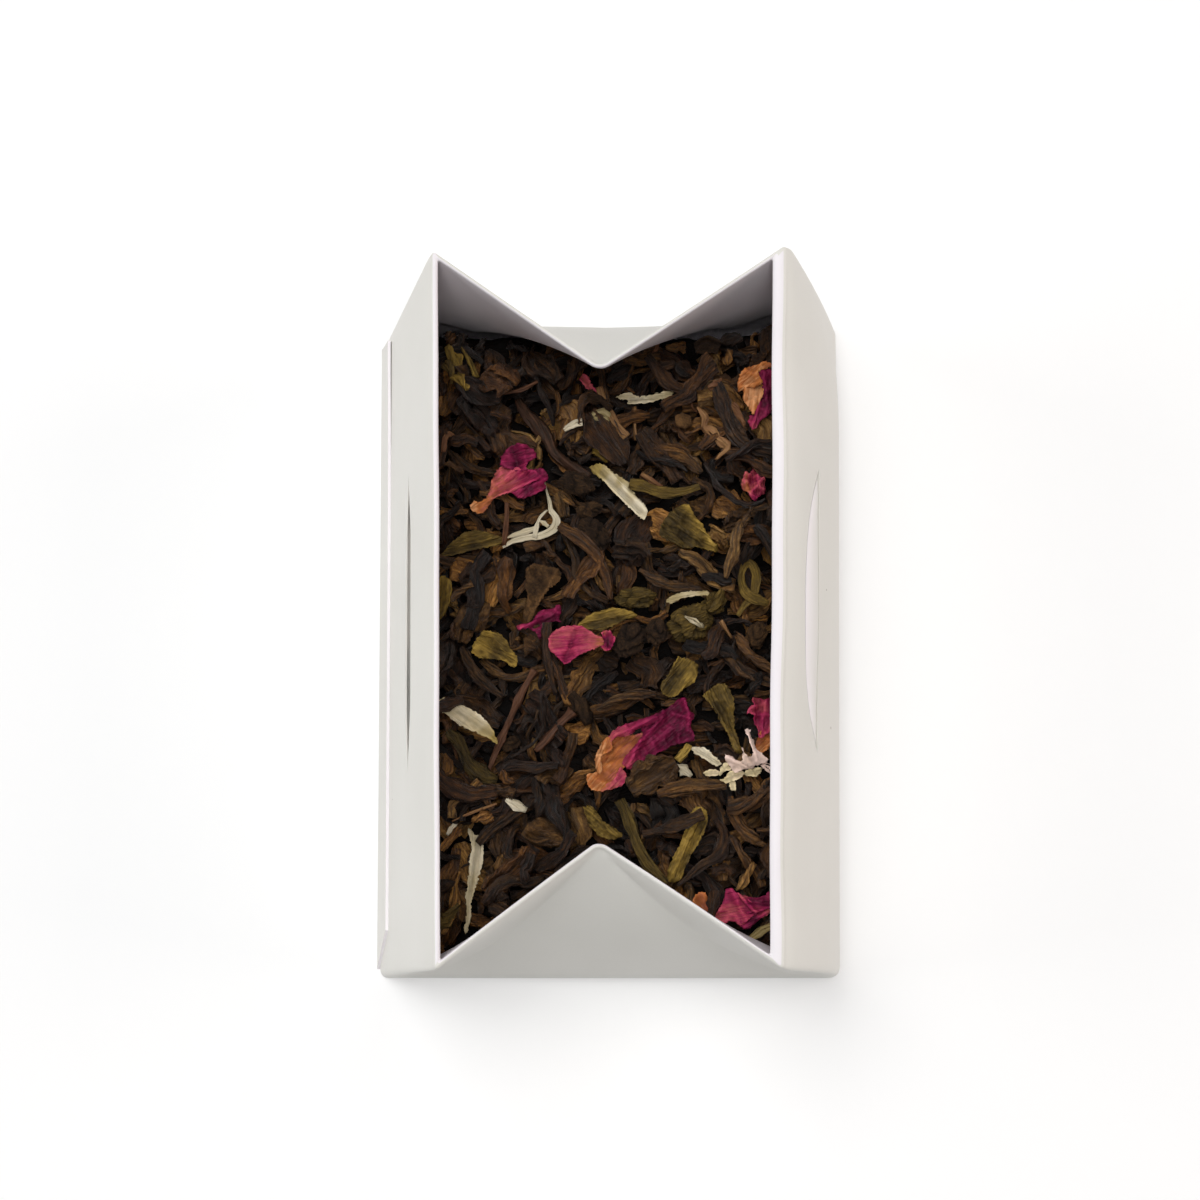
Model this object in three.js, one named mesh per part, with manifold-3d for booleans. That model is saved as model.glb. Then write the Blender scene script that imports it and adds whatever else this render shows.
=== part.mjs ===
// A paper tea sachet: one folded sheet of white card, open at the top and half full of loose tea with
// rose petals and blossom.
// Lengths are in millimetres and angles in degrees. +Z is up and +Y runs along the sachet. The origin is
// the middle of its underside.

import * as THREE from "three";
import { mergeVertices } from "three/addons/utils/BufferGeometryUtils.js";
import Module from "manifold-3d";

// Folded card
const baseLength = 98;
const baseWidth = 70.4;
const rimHeight = 36;
const panelLean = 11;
const cardPly = 0.45;
const footFold = 0.5;
const cornerRadius = 1.3;

// The left long panel is held flat by its glued flap, and the other panels bow outwards
const leftBow = 1;
const rightBow = 1.9;
const endBow = 1.8;

// V folds of the two short ends
const farTuck = 14.9;
const nearTuck = 16.8;
const tuckShift = -1.4;
const tuckPeakWidth = 1.6;
const creaseStart = 2.6;

// Rim: the sheet's top edge is rolled over and turned down inside as a hem
const rollRise = 0.5;
const leftRoll = 1.1;
const rightRoll = 1.9;
const endRoll = 0.95;
const rollFade = 0.22;
const hemDepth = 22;

// Glued flap along the foot of the left panel
const flapHeight = 6.6;
const flapNearTaper = 5.5;
const flapFarTaper = 0.9;
const glueSink = 0.2;

// Tuck closure: a slit in the left panel, and the tongue that goes into it, cut from the right panel
const closureShift = 2;
const slitLength = 43;
const slitWidth = 0.5;
const slitTaper = 4;
const slitHeight = 21;
const tongueLength = 39.5;
const tongueDepth = 5.8;
const tongueHinge = 24.8;
const tongueKerf = 0.3;
const tonguePush = 7;
const tongueRoot = 0.8;

// Tea bed
const teaLevel = 17;
const teaRise = 2.2;
const farLeftDip = 2.2;
const teaLump = 0.7;
const fitGap = 0.3;
const leafDepth = 1.4;
const leafLift = 0.55;
const bedLeafCount = 156;
const bedLeafLength = 10.5;
const bedLeafWidth = 2.5;
const leafTwist = 150;

const wasm = await Module();
wasm.setup();

const radians = THREE.MathUtils.degToRad;
const lerp = THREE.MathUtils.lerp;
const random = THREE.MathUtils.seededRandom;

const panelHeight = rimHeight - rollRise;
const panelSlant = Math.hypot(panelHeight, panelLean);
const flapThrow = (cardPly * panelHeight) / panelSlant;
const hemShare = 1 - hemDepth / panelSlant;

// Solids and geometries

function toSolid(geometry, matrix = new THREE.Matrix4()) {
  const bare = new THREE.BufferGeometry();
  bare.setAttribute("position", geometry.getAttribute("position").clone());
  bare.setIndex(geometry.index);
  const merged = mergeVertices(bare.applyMatrix4(matrix), 1e-4);
  return new wasm.Manifold(
    new wasm.Mesh({
      numProp: 3,
      vertProperties: merged.getAttribute("position").array,
      triVerts: new Uint32Array(merged.index.array),
    }),
  );
}

function toGeometry(solid) {
  const { numProp, vertProperties, triVerts } = solid.getMesh();
  const places = [];
  for (let i = 0; i < vertProperties.length; i += numProp) {
    places.push(...vertProperties.subarray(i, i + 3));
  }
  const geometry = new THREE.BufferGeometry();
  geometry.setAttribute("position", new THREE.Float32BufferAttribute(places, 3));
  geometry.setIndex(new THREE.BufferAttribute(triVerts, 1));
  return geometry;
}

// The largest body of a solid, so that pockets closed in among the leaves are filled.
function largestBody(solid) {
  return solid.decompose().reduce((a, b) => (a.volume() > b.volume() ? a : b));
}

// A closed skin over rings of equal point count, with its first and last ring filled. flatten gives the
// two coordinates in which those end rings are seen anticlockwise from the last one's outer side. Each
// facet is split along its shorter diagonal, so skins that run side by side stay parallel.
function loft(rings, flatten) {
  const count = rings[0].length;
  const points = rings.flat();
  const places = points.flatMap((point) => point.toArray());
  const faces = [];
  for (let i = 0; i + 1 < rings.length; i++) {
    for (let j = 0; j < count; j++) {
      const low = i * count + j;
      const lowNext = i * count + ((j + 1) % count);
      const high = low + count;
      const highNext = lowNext + count;
      if (points[low].distanceTo(points[highNext]) < points[lowNext].distanceTo(points[high])) {
        faces.push(low, lowNext, highNext, low, highNext, high);
      } else {
        faces.push(low, lowNext, high, lowNext, highNext, high);
      }
    }
  }
  const lastStart = (rings.length - 1) * count;
  for (const [a, b, c] of THREE.ShapeUtils.triangulateShape(rings[0].map(flatten), [])) {
    faces.push(a, c, b);
  }
  for (const [a, b, c] of THREE.ShapeUtils.triangulateShape(rings.at(-1).map(flatten), [])) {
    faces.push(lastStart + a, lastStart + b, lastStart + c);
  }
  const geometry = new THREE.BufferGeometry();
  geometry.setAttribute("position", new THREE.Float32BufferAttribute(places, 3));
  geometry.setIndex(faces);
  return geometry;
}

const fromAbove = (point) => new THREE.Vector2(point.x, point.y);
const fromTip = (point) => new THREE.Vector2(point.y, point.z);

// Carton

const leftFoot = -baseWidth / 2 + flapThrow;
const rightFoot = baseWidth / 2;
const leftAt = (share) => leftFoot + panelLean * share ** leftBow;
const rightAt = (share) => rightFoot - panelLean * share ** rightBow;

// The end panels are as tall as the long ones when flat, so tucking one in lowers its peak.
const peakHeight = (tuck) => Math.sqrt(panelSlant ** 2 - tuck ** 2);

// Corner and crease points of the card's outer face at one share of the panels' height, anticlockwise
// from above, starting at the near left corner. Each end has a crease from either foot corner to its peak.
function foldPoints(share, rise) {
  const cornerHeight = panelHeight * share + rise;
  const crease = (foot, peak, y, tuck) =>
    new THREE.Vector3(lerp(foot, peak, share), y, peakHeight(tuck) * share + rise);
  const nearCrease = -baseLength / 2 + nearTuck * share ** endBow;
  const farCrease = baseLength / 2 - farTuck * share ** endBow;
  const leftPeak = tuckShift - tuckPeakWidth / 2;
  const rightPeak = tuckShift + tuckPeakWidth / 2;
  return [
    new THREE.Vector3(leftAt(share), -baseLength / 2, cornerHeight),
    crease(leftFoot + creaseStart, leftPeak, nearCrease, nearTuck),
    crease(rightFoot - creaseStart, rightPeak, nearCrease, nearTuck),
    new THREE.Vector3(rightAt(share), -baseLength / 2, cornerHeight),
    new THREE.Vector3(rightAt(share), baseLength / 2, cornerHeight),
    crease(rightFoot - creaseStart, rightPeak, farCrease, farTuck),
    crease(leftFoot + creaseStart, leftPeak, farCrease, farTuck),
    new THREE.Vector3(leftAt(share), baseLength / 2, cornerHeight),
  ];
}

// Moves each fold point inwards so that the panels before and after it step in by their own insets.
function stepIn(points, insets) {
  const panelInsets = ["end", "end", "end", "right", "end", "end", "end", "left"].map((side) => insets[side]);
  const normals = points.map((point, i) => {
    const next = points[(i + 1) % points.length];
    return new THREE.Vector2(point.y - next.y, next.x - point.x).normalize();
  });
  return points.map((point, i) => {
    const before = (i + points.length - 1) % points.length;
    const lean = normals[before].dot(normals[i]);
    const spread = 1 - lean ** 2;
    const move = normals[i].clone().multiplyScalar(panelInsets[i]);
    if (spread > 1e-6) {
      move.copy(normals[i]).multiplyScalar((panelInsets[i] - panelInsets[before] * lean) / spread);
      move.addScaledVector(normals[before], (panelInsets[before] - panelInsets[i] * lean) / spread);
    }
    return new THREE.Vector3(point.x + move.x, point.y + move.y, point.z);
  });
}

// Rounds the four upright corner folds and leaves the creases sharp.
function roundCorners(points, radius) {
  const corners = [0, 3, 4, 7];
  const arcSteps = 4;
  return points.flatMap((point, i) => {
    if (!corners.includes(i)) return [point];
    const before = points.at(i - 1).clone().sub(point);
    const after = points[(i + 1) % points.length].clone().sub(point);
    const tangent = Math.min(
      radius / Math.tan(before.angleTo(after) / 2),
      0.4 * before.length(),
      0.4 * after.length(),
    );
    const arc = new THREE.QuadraticBezierCurve3(
      point.clone().add(before.setLength(tangent)),
      point,
      point.clone().add(after.setLength(tangent)),
    );
    return arc.getPoints(arcSteps);
  });
}

function cartonRing(share, insets, rise = 0) {
  const thickest = Math.max(insets.left, insets.right, insets.end);
  const radius = Math.max(cornerRadius - thickest, cornerRadius / 4);
  return roundCorners(stepIn(foldPoints(share, rise), insets), radius);
}

// Wall thickness: two plies where the hem lies against the panel, loosening to the roll at the rim.
function hemmedWall(share) {
  const loose = THREE.MathUtils.smoothstep(share, 1 - rollFade, 1);
  const tight = 2 * cardPly;
  return {
    left: lerp(tight, leftRoll, loose),
    right: lerp(tight, rightRoll, loose),
    end: lerp(tight, endRoll, loose),
  };
}

const evenInset = (inset) => ({ left: inset, right: inset, end: inset });
const footShare = footFold / panelHeight;
const floorShare = cardPly / panelHeight;

// Shares of the panels' height at which both faces of the card have a ring, below and along the hem.
const lowShares = [hemShare / 3, (2 * hemShare) / 3];
const hemSteps = 6;
const hemShares = Array.from({ length: hemSteps }, (_, i) => lerp(hemShare, 1, i / hemSteps));

function makeCarton() {
  const rollSteps = 4;
  const outside = [
    cartonRing(0, evenInset(footFold)),
    ...[footShare, ...lowShares, ...hemShares].map((share) => cartonRing(share, evenInset(0))),
  ];
  const roll = [];
  const rimWall = hemmedWall(1);
  for (let i = 0; i <= rollSteps; i++) {
    const angle = (Math.PI * i) / rollSteps;
    const reach = (1 - Math.cos(angle)) / 2;
    const insets = { left: rimWall.left * reach, right: rimWall.right * reach, end: rimWall.end * reach };
    roll.push(cartonRing(1, insets, rollRise * Math.sin(angle)));
  }
  const hem = hemShares.map((share) => cartonRing(share, hemmedWall(share)));
  const belowHem = [floorShare, ...lowShares, hemShare - floorShare];
  const inside = belowHem.map((share) => cartonRing(share, evenInset(cardPly)));
  return toSolid(loft([...outside, ...roll, ...hem.reverse(), ...inside.reverse()], fromAbove));
}

// Places a flat outline on a long panel: its x runs along the sachet, its y up the panel and its z out
// of the card. side is -1 for the left panel and 1 for the right one.
function panelFrame(side, lowShare, highShare) {
  const at = side < 0 ? leftAt : rightAt;
  const low = new THREE.Vector3(at(lowShare), 0, panelHeight * lowShare);
  const up = new THREE.Vector3(at(highShare), 0, panelHeight * highShare).sub(low).normalize();
  const along = new THREE.Vector3(0, side, 0);
  const out = along.clone().cross(up);
  return new THREE.Matrix4().makeBasis(along, up, out).setPosition(low);
}

function plate(outline, fromDepth, toDepth) {
  const shape = new THREE.Shape(outline.map(([x, y]) => new THREE.Vector2(x, y)));
  const geometry = new THREE.ExtrudeGeometry(shape, { depth: toDepth - fromDepth, bevelEnabled: false });
  return geometry.translate(0, 0, fromDepth);
}

function makeGluedFlap() {
  const half = baseLength / 2 - cornerRadius;
  const foot = (glueSink * panelLean) / panelHeight;
  const outline = [
    [-half, foot],
    [half, foot],
    [half - flapNearTaper, flapHeight],
    [flapFarTaper - half, flapHeight],
  ];
  return toSolid(plate(outline, -glueSink, cardPly), panelFrame(-1, 0, 1));
}

function makeSlit() {
  const half = slitLength / 2;
  const outline = [
    [-half, 0],
    [slitTaper - half, -slitWidth / 2],
    [half - slitTaper, -slitWidth / 2],
    [half, 0],
    [half - slitTaper, slitWidth / 2],
    [slitTaper - half, slitWidth / 2],
  ].map(([x, y]) => [x - closureShift, y + slitHeight]);
  const reach = 4 * cardPly;
  return toSolid(plate(outline, -reach, reach), panelFrame(-1, 0, 1));
}

// A circle's segment standing on its chord, with a straight root below the chord.
function tongueOutline(length, depth, root) {
  const arcSteps = 18;
  const radius = (length ** 2 / 4 + depth ** 2) / (2 * depth);
  const halfAngle = Math.asin(length / 2 / radius);
  const outline = [];
  for (let i = 0; i <= arcSteps; i++) {
    const angle = lerp(halfAngle, -halfAngle, i / arcSteps);
    outline.push([radius * Math.sin(angle) + closureShift, radius * Math.cos(angle) - radius + depth]);
  }
  if (root > 0) {
    outline.push([closureShift - length / 2, -root], [closureShift + length / 2, -root]);
  }
  return outline;
}

function tongueFrame() {
  const lowShare = tongueHinge / panelHeight;
  return panelFrame(1, lowShare, lowShare + tongueDepth / panelSlant);
}

function makeTongueWindow() {
  const reach = 4 * cardPly;
  return toSolid(plate(tongueOutline(tongueLength, tongueDepth, 0), -reach, reach), tongueFrame());
}

function makeTongue() {
  const outline = tongueOutline(tongueLength - 2 * tongueKerf, tongueDepth - tongueKerf, tongueRoot);
  const push = new THREE.Matrix4().makeRotationX(-radians(tonguePush));
  return toSolid(plate(outline, -2 * cardPly, -cardPly / 4), tongueFrame().multiply(push));
}

const cartonSolid = makeCarton()
  .add(makeGluedFlap())
  .subtract(makeSlit())
  .subtract(makeTongueWindow())
  .add(makeTongue());

// The room inside the card, less the fitting gap.
function makeRoom() {
  const roomRing = (share, rise) => {
    const wall = hemmedWall(share);
    const insets = { left: wall.left + fitGap, right: wall.right + fitGap, end: wall.end + fitGap };
    return cartonRing(share, insets, rise);
  };
  const upperRings = [...lowShares, ...hemShares, 1].map((share) => roomRing(share, 0));
  return toSolid(loft([roomRing(floorShare, fitGap), ...upperRings], fromAbove));
}

// Leaf, petal and stem forms, each lying along X with its middle near the origin

// A twisted dry leaf: a flat-oval section that turns and narrows to both tips.
function twistedLeaf({ length, width, thick = 0.55, twist = leafTwist, arch = 0.12, rings = 5, sides = 5 }) {
  const sections = [];
  for (let i = 0; i < rings; i++) {
    const share = i / (rings - 1);
    const swell = 0.25 + 0.75 * Math.sin(Math.PI * (0.08 + 0.8 * share));
    const turn = radians(twist) * (share - 0.5);
    const bend = length * arch * Math.sin(Math.PI * share);
    const section = [];
    for (let j = 0; j < sides; j++) {
      const angle = (2 * Math.PI * j) / sides;
      const across = (width / 2) * swell * Math.cos(angle);
      const up = (width / 2) * thick * swell * Math.sin(angle);
      section.push(
        new THREE.Vector3(
          length * (share - 0.5),
          bend + across * Math.cos(turn) - up * Math.sin(turn),
          across * Math.sin(turn) + up * Math.cos(turn),
        ),
      );
    }
    sections.push(section);
  }
  return loft(sections, fromTip);
}

// A thin sheet rounded across its width. curl is the angle its section goes through, arch lifts its two
// ends, and blunt sets how full the tips are.
function curledSheet({
  length,
  width,
  curl,
  arch = 0,
  blunt = 0.35,
  thick = 0.4,
  waist = 0.55,
  ruffle = 0,
  rings = 7,
  steps = 4,
}) {
  const sections = [];
  for (let i = 0; i < rings; i++) {
    const share = i / (rings - 1);
    const fullness = Math.sin(Math.PI * share ** (Math.log(0.5) / Math.log(waist)));
    const halfWidth = (width / 2) * lerp(blunt, 1, Math.max(fullness, 0) ** 0.7);
    const halfAngle = radians(curl) / 2;
    const radius = halfWidth / Math.sin(Math.min(halfAngle, Math.PI / 2));
    const lift = arch * (2 * share - 1) ** 2 * length + ruffle * Math.sin(5 * Math.PI * share);
    const section = [];
    const arcPoint = (angle, r) =>
      new THREE.Vector3(length * (share - 0.5), r * Math.sin(angle), lift + radius - r * Math.cos(angle));
    for (let j = 0; j <= steps; j++) {
      section.push(arcPoint(lerp(-halfAngle, halfAngle, j / steps), radius + thick / 2));
    }
    for (let j = steps; j >= 0; j--) {
      section.push(arcPoint(lerp(-halfAngle, halfAngle, j / steps), radius - thick / 2));
    }
    sections.push(section);
  }
  return loft(sections, fromTip);
}

// A lumpy pellet of rolled leaf or a crumb of bark.
function nugget({ length, width, height = width, lump = 0.16, seed = 1 }) {
  const geometry = mergeVertices(
    new THREE.IcosahedronGeometry(1, 1).deleteAttribute("normal").deleteAttribute("uv"),
    1e-4,
  );
  const place = new THREE.Vector3();
  const points = geometry.getAttribute("position");
  for (let i = 0; i < points.count; i++) {
    place.fromBufferAttribute(points, i);
    const folds = Math.sin(4 * place.x + seed) * Math.cos(5 * place.y - seed) - Math.abs(place.z);
    const swell = 1 + lump * folds;
    place.multiplyScalar(swell);
    points.setXYZ(i, (place.x * length) / 2, (place.y * width) / 2, (place.z * height) / 2);
  }
  return geometry;
}

// A thin stalk with a side bend and a knee.
function stem({ length, width, arch = 0.06, knee = 0.02 }) {
  const half = length / 2;
  const path = new THREE.CatmullRomCurve3([
    new THREE.Vector3(-half, 0, 0),
    new THREE.Vector3(-half / 3, length * arch, length * knee),
    new THREE.Vector3(half / 3, length * arch, -length * knee),
    new THREE.Vector3(half, -length * arch, 0),
  ]);
  const sides = 6;
  const outline = [];
  for (let i = 0; i < sides; i++) {
    const angle = (2 * Math.PI * i) / sides;
    outline.push(new THREE.Vector2((width / 2) * Math.cos(angle), (width / 2) * Math.sin(angle)));
  }
  return new THREE.ExtrudeGeometry(new THREE.Shape(outline), { steps: 7, extrudePath: path });
}

// A dried floret: narrow petals spread from one end like a hand.
function floret({ length, width, petals, spread }) {
  let solid = toSolid(nugget({ length: width * 1.6, width: width * 1.3, height: width }));
  for (let i = 0; i < petals; i++) {
    const petalLength = length * (1 - 0.12 * (i % 3));
    const petal = curledSheet({ length: petalLength, width, curl: 70, arch: 0.06, rings: 4, steps: 2 });
    petal.translate(length / 2, 0, 0);
    const turn = radians(lerp(-spread / 2, spread / 2, i / Math.max(petals - 1, 1)));
    solid = solid.add(toSolid(petal, new THREE.Matrix4().makeRotationZ(turn)));
  }
  return toGeometry(solid).translate(-length / 3, 0, 0);
}

// Tea bed: a lumpy heap of leaves

function teaHeight(x, y) {
  const across = x / (baseWidth / 2);
  const along = y / (baseLength / 2);
  const dip = farLeftDip * Math.max(-across, 0) * Math.max(along, 0);
  const lump = Math.sin(0.62 * x + 1.3) * Math.cos(0.47 * y) + 0.6 * Math.sin(1.05 * x - 0.8 * y);
  return teaLevel + teaRise * across - dip + teaLump * lump;
}

function makeHeap() {
  const geometry = new THREE.BoxGeometry(baseWidth, baseLength, 1, 16, 22, 1);
  const points = geometry.getAttribute("position");
  for (let i = 0; i < points.count; i++) {
    const surface = teaHeight(points.getX(i), points.getY(i)) - leafDepth;
    if (points.getZ(i) > 0) points.setZ(i, surface);
  }
  return toSolid(geometry);
}

// Spreads the leaves evenly over the heap, each turned and tipped its own way. Every second leaf lies
// deep between the others, so that gaps open down to the heap.
function makeBed(room) {
  let bed = makeHeap();
  const goldenShare = (Math.sqrt(5) - 1) / 2;
  random(7);
  for (let i = 0; i < bedLeafCount; i++) {
    const x = (((i * goldenShare) % 1) - 0.5) * (baseWidth - panelLean);
    const y = ((i + 0.5) / bedLeafCount - 0.5) * baseLength;
    const leaf = twistedLeaf({
      length: bedLeafLength * lerp(0.7, 1.15, random()),
      width: bedLeafWidth * lerp(0.7, 1.1, random()),
      arch: lerp(-0.16, 0.16, random()),
      rings: 4,
      sides: 4,
    });
    const roll = 2 * Math.PI * random();
    const pitch = radians(lerp(-14, 14, random()));
    const turn = new THREE.Euler(roll, pitch, 2 * Math.PI * random(), "ZYX");
    const z = teaHeight(x, y) + (i % 2 === 0 ? leafLift : -leafLift);
    const matrix = new THREE.Matrix4().makeRotationFromEuler(turn).setPosition(x, y, z);
    bed = bed.add(toSolid(leaf, matrix));
  }
  return largestBody(bed.intersect(room));
}

const group = new THREE.Group();

function addPiece(name, geometry, look) {
  const mesh = new THREE.Mesh(geometry, new THREE.MeshStandardMaterial({ metalness: 0, ...look }));
  mesh.name = name;
  group.add(mesh);
  return mesh;
}

const room = makeRoom();
const bedSolid = makeBed(room);
addPiece("folded_carton", toGeometry(cartonSolid), { color: 0xe2e0dc, roughness: 0.5 });
addPiece("loose_tea", toGeometry(bedSolid), { color: 0x33271f, roughness: 0.8 });

// Pieces that lie on the tea. across and along are shares of the half width and half length, turn is the
// direction seen from above, and roll and pitch tip a piece on its bed.

const blackLeaves = [
  { across: -0.1, along: 0.2, turn: -55, length: 13.1, width: 1.9, arch: 0.16 },
  { across: 0.25, along: 0.15, turn: -18, length: 9.4, width: 2.2, arch: -0.1 },
  { across: 0.28, along: 0.51, turn: -29, length: 7.8, width: 2.3 },
  { across: -0.56, along: 0.53, turn: -24, length: 8.5, width: 2.3, arch: -0.14 },
  { across: -0.22, along: -0.12, turn: -69, length: 8.6, width: 2.0, arch: 0.05 },
  { across: 0.07, along: -0.21, turn: 15, length: 8.7, width: 2.3, arch: 0.1 },
  { across: 0.33, along: -0.47, turn: 7, length: 9.8, width: 2.3, arch: 0.05 },
  { across: 0.56, along: -0.56, turn: -54, length: 8.9, width: 2.9, arch: -0.16 },
  { across: -0.41, along: -0.56, turn: 35, length: 10.2, width: 2.6, arch: 0.08 },
  { across: 0.47, along: 0.57, turn: 23, length: 7.5, width: 2.3 },
  { across: 0.07, along: 0.62, turn: 28, length: 7.9, width: 2.0, arch: 0.14 },
  { across: -0.52, along: -0.11, turn: -50, length: 9.4, width: 2.3, arch: -0.1 },
];

const brownNuggets = [
  { across: -0.13, along: 0.36, turn: -44, length: 8.9, width: 6.4, height: 4.2 },
  { across: 0.13, along: -0.03, turn: 11, length: 7.4, width: 6.4, height: 4.6 },
  { across: 0.61, along: -0.02, turn: 51, length: 4.6, width: 3.2, height: 3 },
  { across: -0.28, along: 0.12, turn: 63, length: 8.8, width: 5, height: 2.6 },
];

const greenNuggets = [
  { across: 0.35, along: 0.04, turn: 32, length: 8.6, width: 6.4, height: 4.6 },
  { across: 0.13, along: 0.11, turn: 2, length: 7.1, width: 3.2, height: 2.8 },
];

const greenLeaves = [
  { across: -0.47, along: -0.05, turn: -30, length: 6.9, width: 4.9, curl: 120, arch: 0.08 },
  { across: 0.34, along: 0.31, turn: -40, length: 9.0, width: 5.5, curl: 100, arch: 0.05 },
  { across: -0.01, along: 0.03, turn: 14, length: 8.3, width: 2.3, curl: 160, arch: 0.1 },
  { across: 0.6, along: 0.12, turn: 68, length: 7.8, width: 3.5, curl: 200 },
  { across: 0.29, along: -0.13, turn: 56, length: 6.7, width: 3.8, curl: 130, arch: 0.05 },
  { across: 0.45, along: -0.27, turn: -66, length: 9.5, width: 3.6, curl: 210 },
  { across: 0.32, along: -0.63, turn: 67, length: 11.1, width: 4.1, curl: 260 },
  { across: -0.02, along: -0.56, turn: -41, length: 6.6, width: 3.8, curl: 150 },
  { across: -0.67, along: 0.12, turn: 87, length: 6.1, width: 2.5, curl: 190 },
  { across: -0.55, along: -0.38, turn: -49, length: 9.2, width: 3.4, curl: 170, arch: 0.05 },
  { across: -0.57, along: 0.28, turn: 16, length: 8.4, width: 3.2, curl: 140, arch: 0.04 },
];

const greenTwists = [
  { across: 0.23, along: 0.42, turn: -10, length: 10.3, width: 2.2, arch: 0.06 },
  { across: 0.13, along: -0.61, turn: -63, length: 12.8, width: 2, arch: -0.12 },
];

const stalks = [
  { across: -0.4, along: -0.25, turn: 62, length: 14.8, width: 1.2 },
  { across: -0.23, along: -0.3, turn: 45, length: 8.6, width: 1.3, arch: 0.03 },
  { across: -0.28, along: 0.59, turn: -59, length: 13.5, width: 1.9, arch: -0.05 },
];

const whitePetals = [
  { across: 0.15, along: 0.71, turn: 10, length: 7.8, width: 1.6, curl: 110, arch: 0.04 },
  { across: 0.04, along: 0.42, turn: -44, length: 10.9, width: 2.3, curl: 130, arch: 0.03 },
  { across: -0.58, along: -0.28, turn: -39, length: 11.5, width: 3.1, curl: 80, blunt: 0.15 },
  { across: -0.55, along: -0.72, turn: -91, length: 14.9, width: 2.3, curl: 140, arch: 0.05 },
  { across: 0.32, along: 0.1, turn: 11, length: 6.2, width: 1.3, curl: 90 },
  { across: 0.4, along: -0.36, turn: 29, length: 5.3, width: 2.2, curl: 100, arch: 0.06 },
];

const florets = [
  { across: -0.3, along: 0.38, turn: 49, length: 6.4, width: 1.5, petals: 3, spread: 220 },
  { across: 0.53, along: -0.39, turn: 14, length: 4.6, width: 1.6, petals: 7, spread: 310 },
];

const rosePetals = [
  { across: -0.41, along: 0.45, turn: 42, length: 13.6, width: 8.7, curl: 90, waist: 0.66, blunt: 0.2 },
  { across: -0.11, along: -0.05, turn: 22, length: 9.7, width: 5.2, curl: 110, waist: 0.4 },
  { across: -0.28, along: 0.03, turn: 28, length: 6.9, width: 3.9, curl: 120, waist: 0.6 },
  { across: 0.14, along: -0.34, turn: 40, length: 19, width: 7, curl: 170, arch: 0.05, blunt: 0.45 },
  { across: 0.63, along: 0.69, turn: 65, length: 9.4, width: 6.4, curl: 120, waist: 0.5 },
  { across: 0.61, along: 0.43, turn: 50, length: 5.1, width: 3.9, curl: 150 },
  { across: 0.66, along: -0.28, turn: 55, length: 8.3, width: 5.6, curl: 110, arch: 0.05 },
  { across: 0.51, along: -0.8, turn: -9, length: 12.1, width: 5.5, curl: 130, ruffle: 0.4 },
  { across: -0.09, along: 0.74, turn: -55, length: 4.1, width: 1.8, curl: 80 },
];

// Lowers a piece onto the pile until it is one fitting gap clear. A piece that would reach the card
// is first brought nearer to the middle.
let pile = bedSolid;
function settle(mesh, { across, along, turn, roll = 0, pitch = 0 }) {
  const dropHeight = rimHeight / 2;
  const dropSteps = 9;
  const tolerance = 1e-3;
  mesh.rotation.set(radians(roll), radians(pitch), radians(turn), "ZYX");
  for (let inwards = 1; inwards > 0; inwards -= 0.03) {
    const x = (across * inwards * baseWidth) / 2;
    const y = (along * inwards * baseLength) / 2;
    const solidAt = (z) => {
      mesh.position.set(x, y, z);
      mesh.updateMatrixWorld();
      return toSolid(mesh.geometry, mesh.matrixWorld);
    };
    let blocked = teaHeight(x, y) - dropHeight / 2;
    let clear = teaHeight(x, y) + dropHeight / 2;
    for (let i = 0; i < dropSteps; i++) {
      const middle = (blocked + clear) / 2;
      if (solidAt(middle).intersect(pile).volume() > tolerance) blocked = middle;
      else clear = middle;
    }
    const placed = solidAt(clear + fitGap);
    if (placed.subtract(room).volume() < tolerance) {
      pile = pile.add(placed);
      return;
    }
  }
}

function addPieces(name, pieces, form, look) {
  pieces.forEach((piece, i) => {
    const mesh = addPiece(`${name}_${i + 1}`, form({ seed: i + 1, ...piece }), look);
    settle(mesh, piece);
  });
}

addPieces("brown_nugget", brownNuggets, nugget, { color: 0x4a3322, roughness: 0.85 });
addPieces("green_nugget", greenNuggets, nugget, { color: 0x5b5126, roughness: 0.75 });
addPieces("black_leaf", blackLeaves, twistedLeaf, { color: 0x2c2420, roughness: 0.7 });
addPieces("green_leaf", greenLeaves, curledSheet, { color: 0x5f5a2c, roughness: 0.7 });
addPieces("green_twist", greenTwists, twistedLeaf, { color: 0x5e5b33, roughness: 0.7 });
addPieces("stalk", stalks, stem, { color: 0x5c3626, roughness: 0.7 });
addPieces("white_petal", whitePetals, curledSheet, { color: 0xd8cfb4, roughness: 0.8 });
addPieces("white_floret", florets, floret, { color: 0xdccdb4, roughness: 0.8 });
addPieces("rose_petal", rosePetals, curledSheet, { color: 0x9c2552, roughness: 0.6 });

export default group;
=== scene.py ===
import math

import bmesh
import bpy
import numpy as np
from mathutils import Matrix, Vector
from mathutils.geometry import delaunay_2d_cdt


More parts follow.
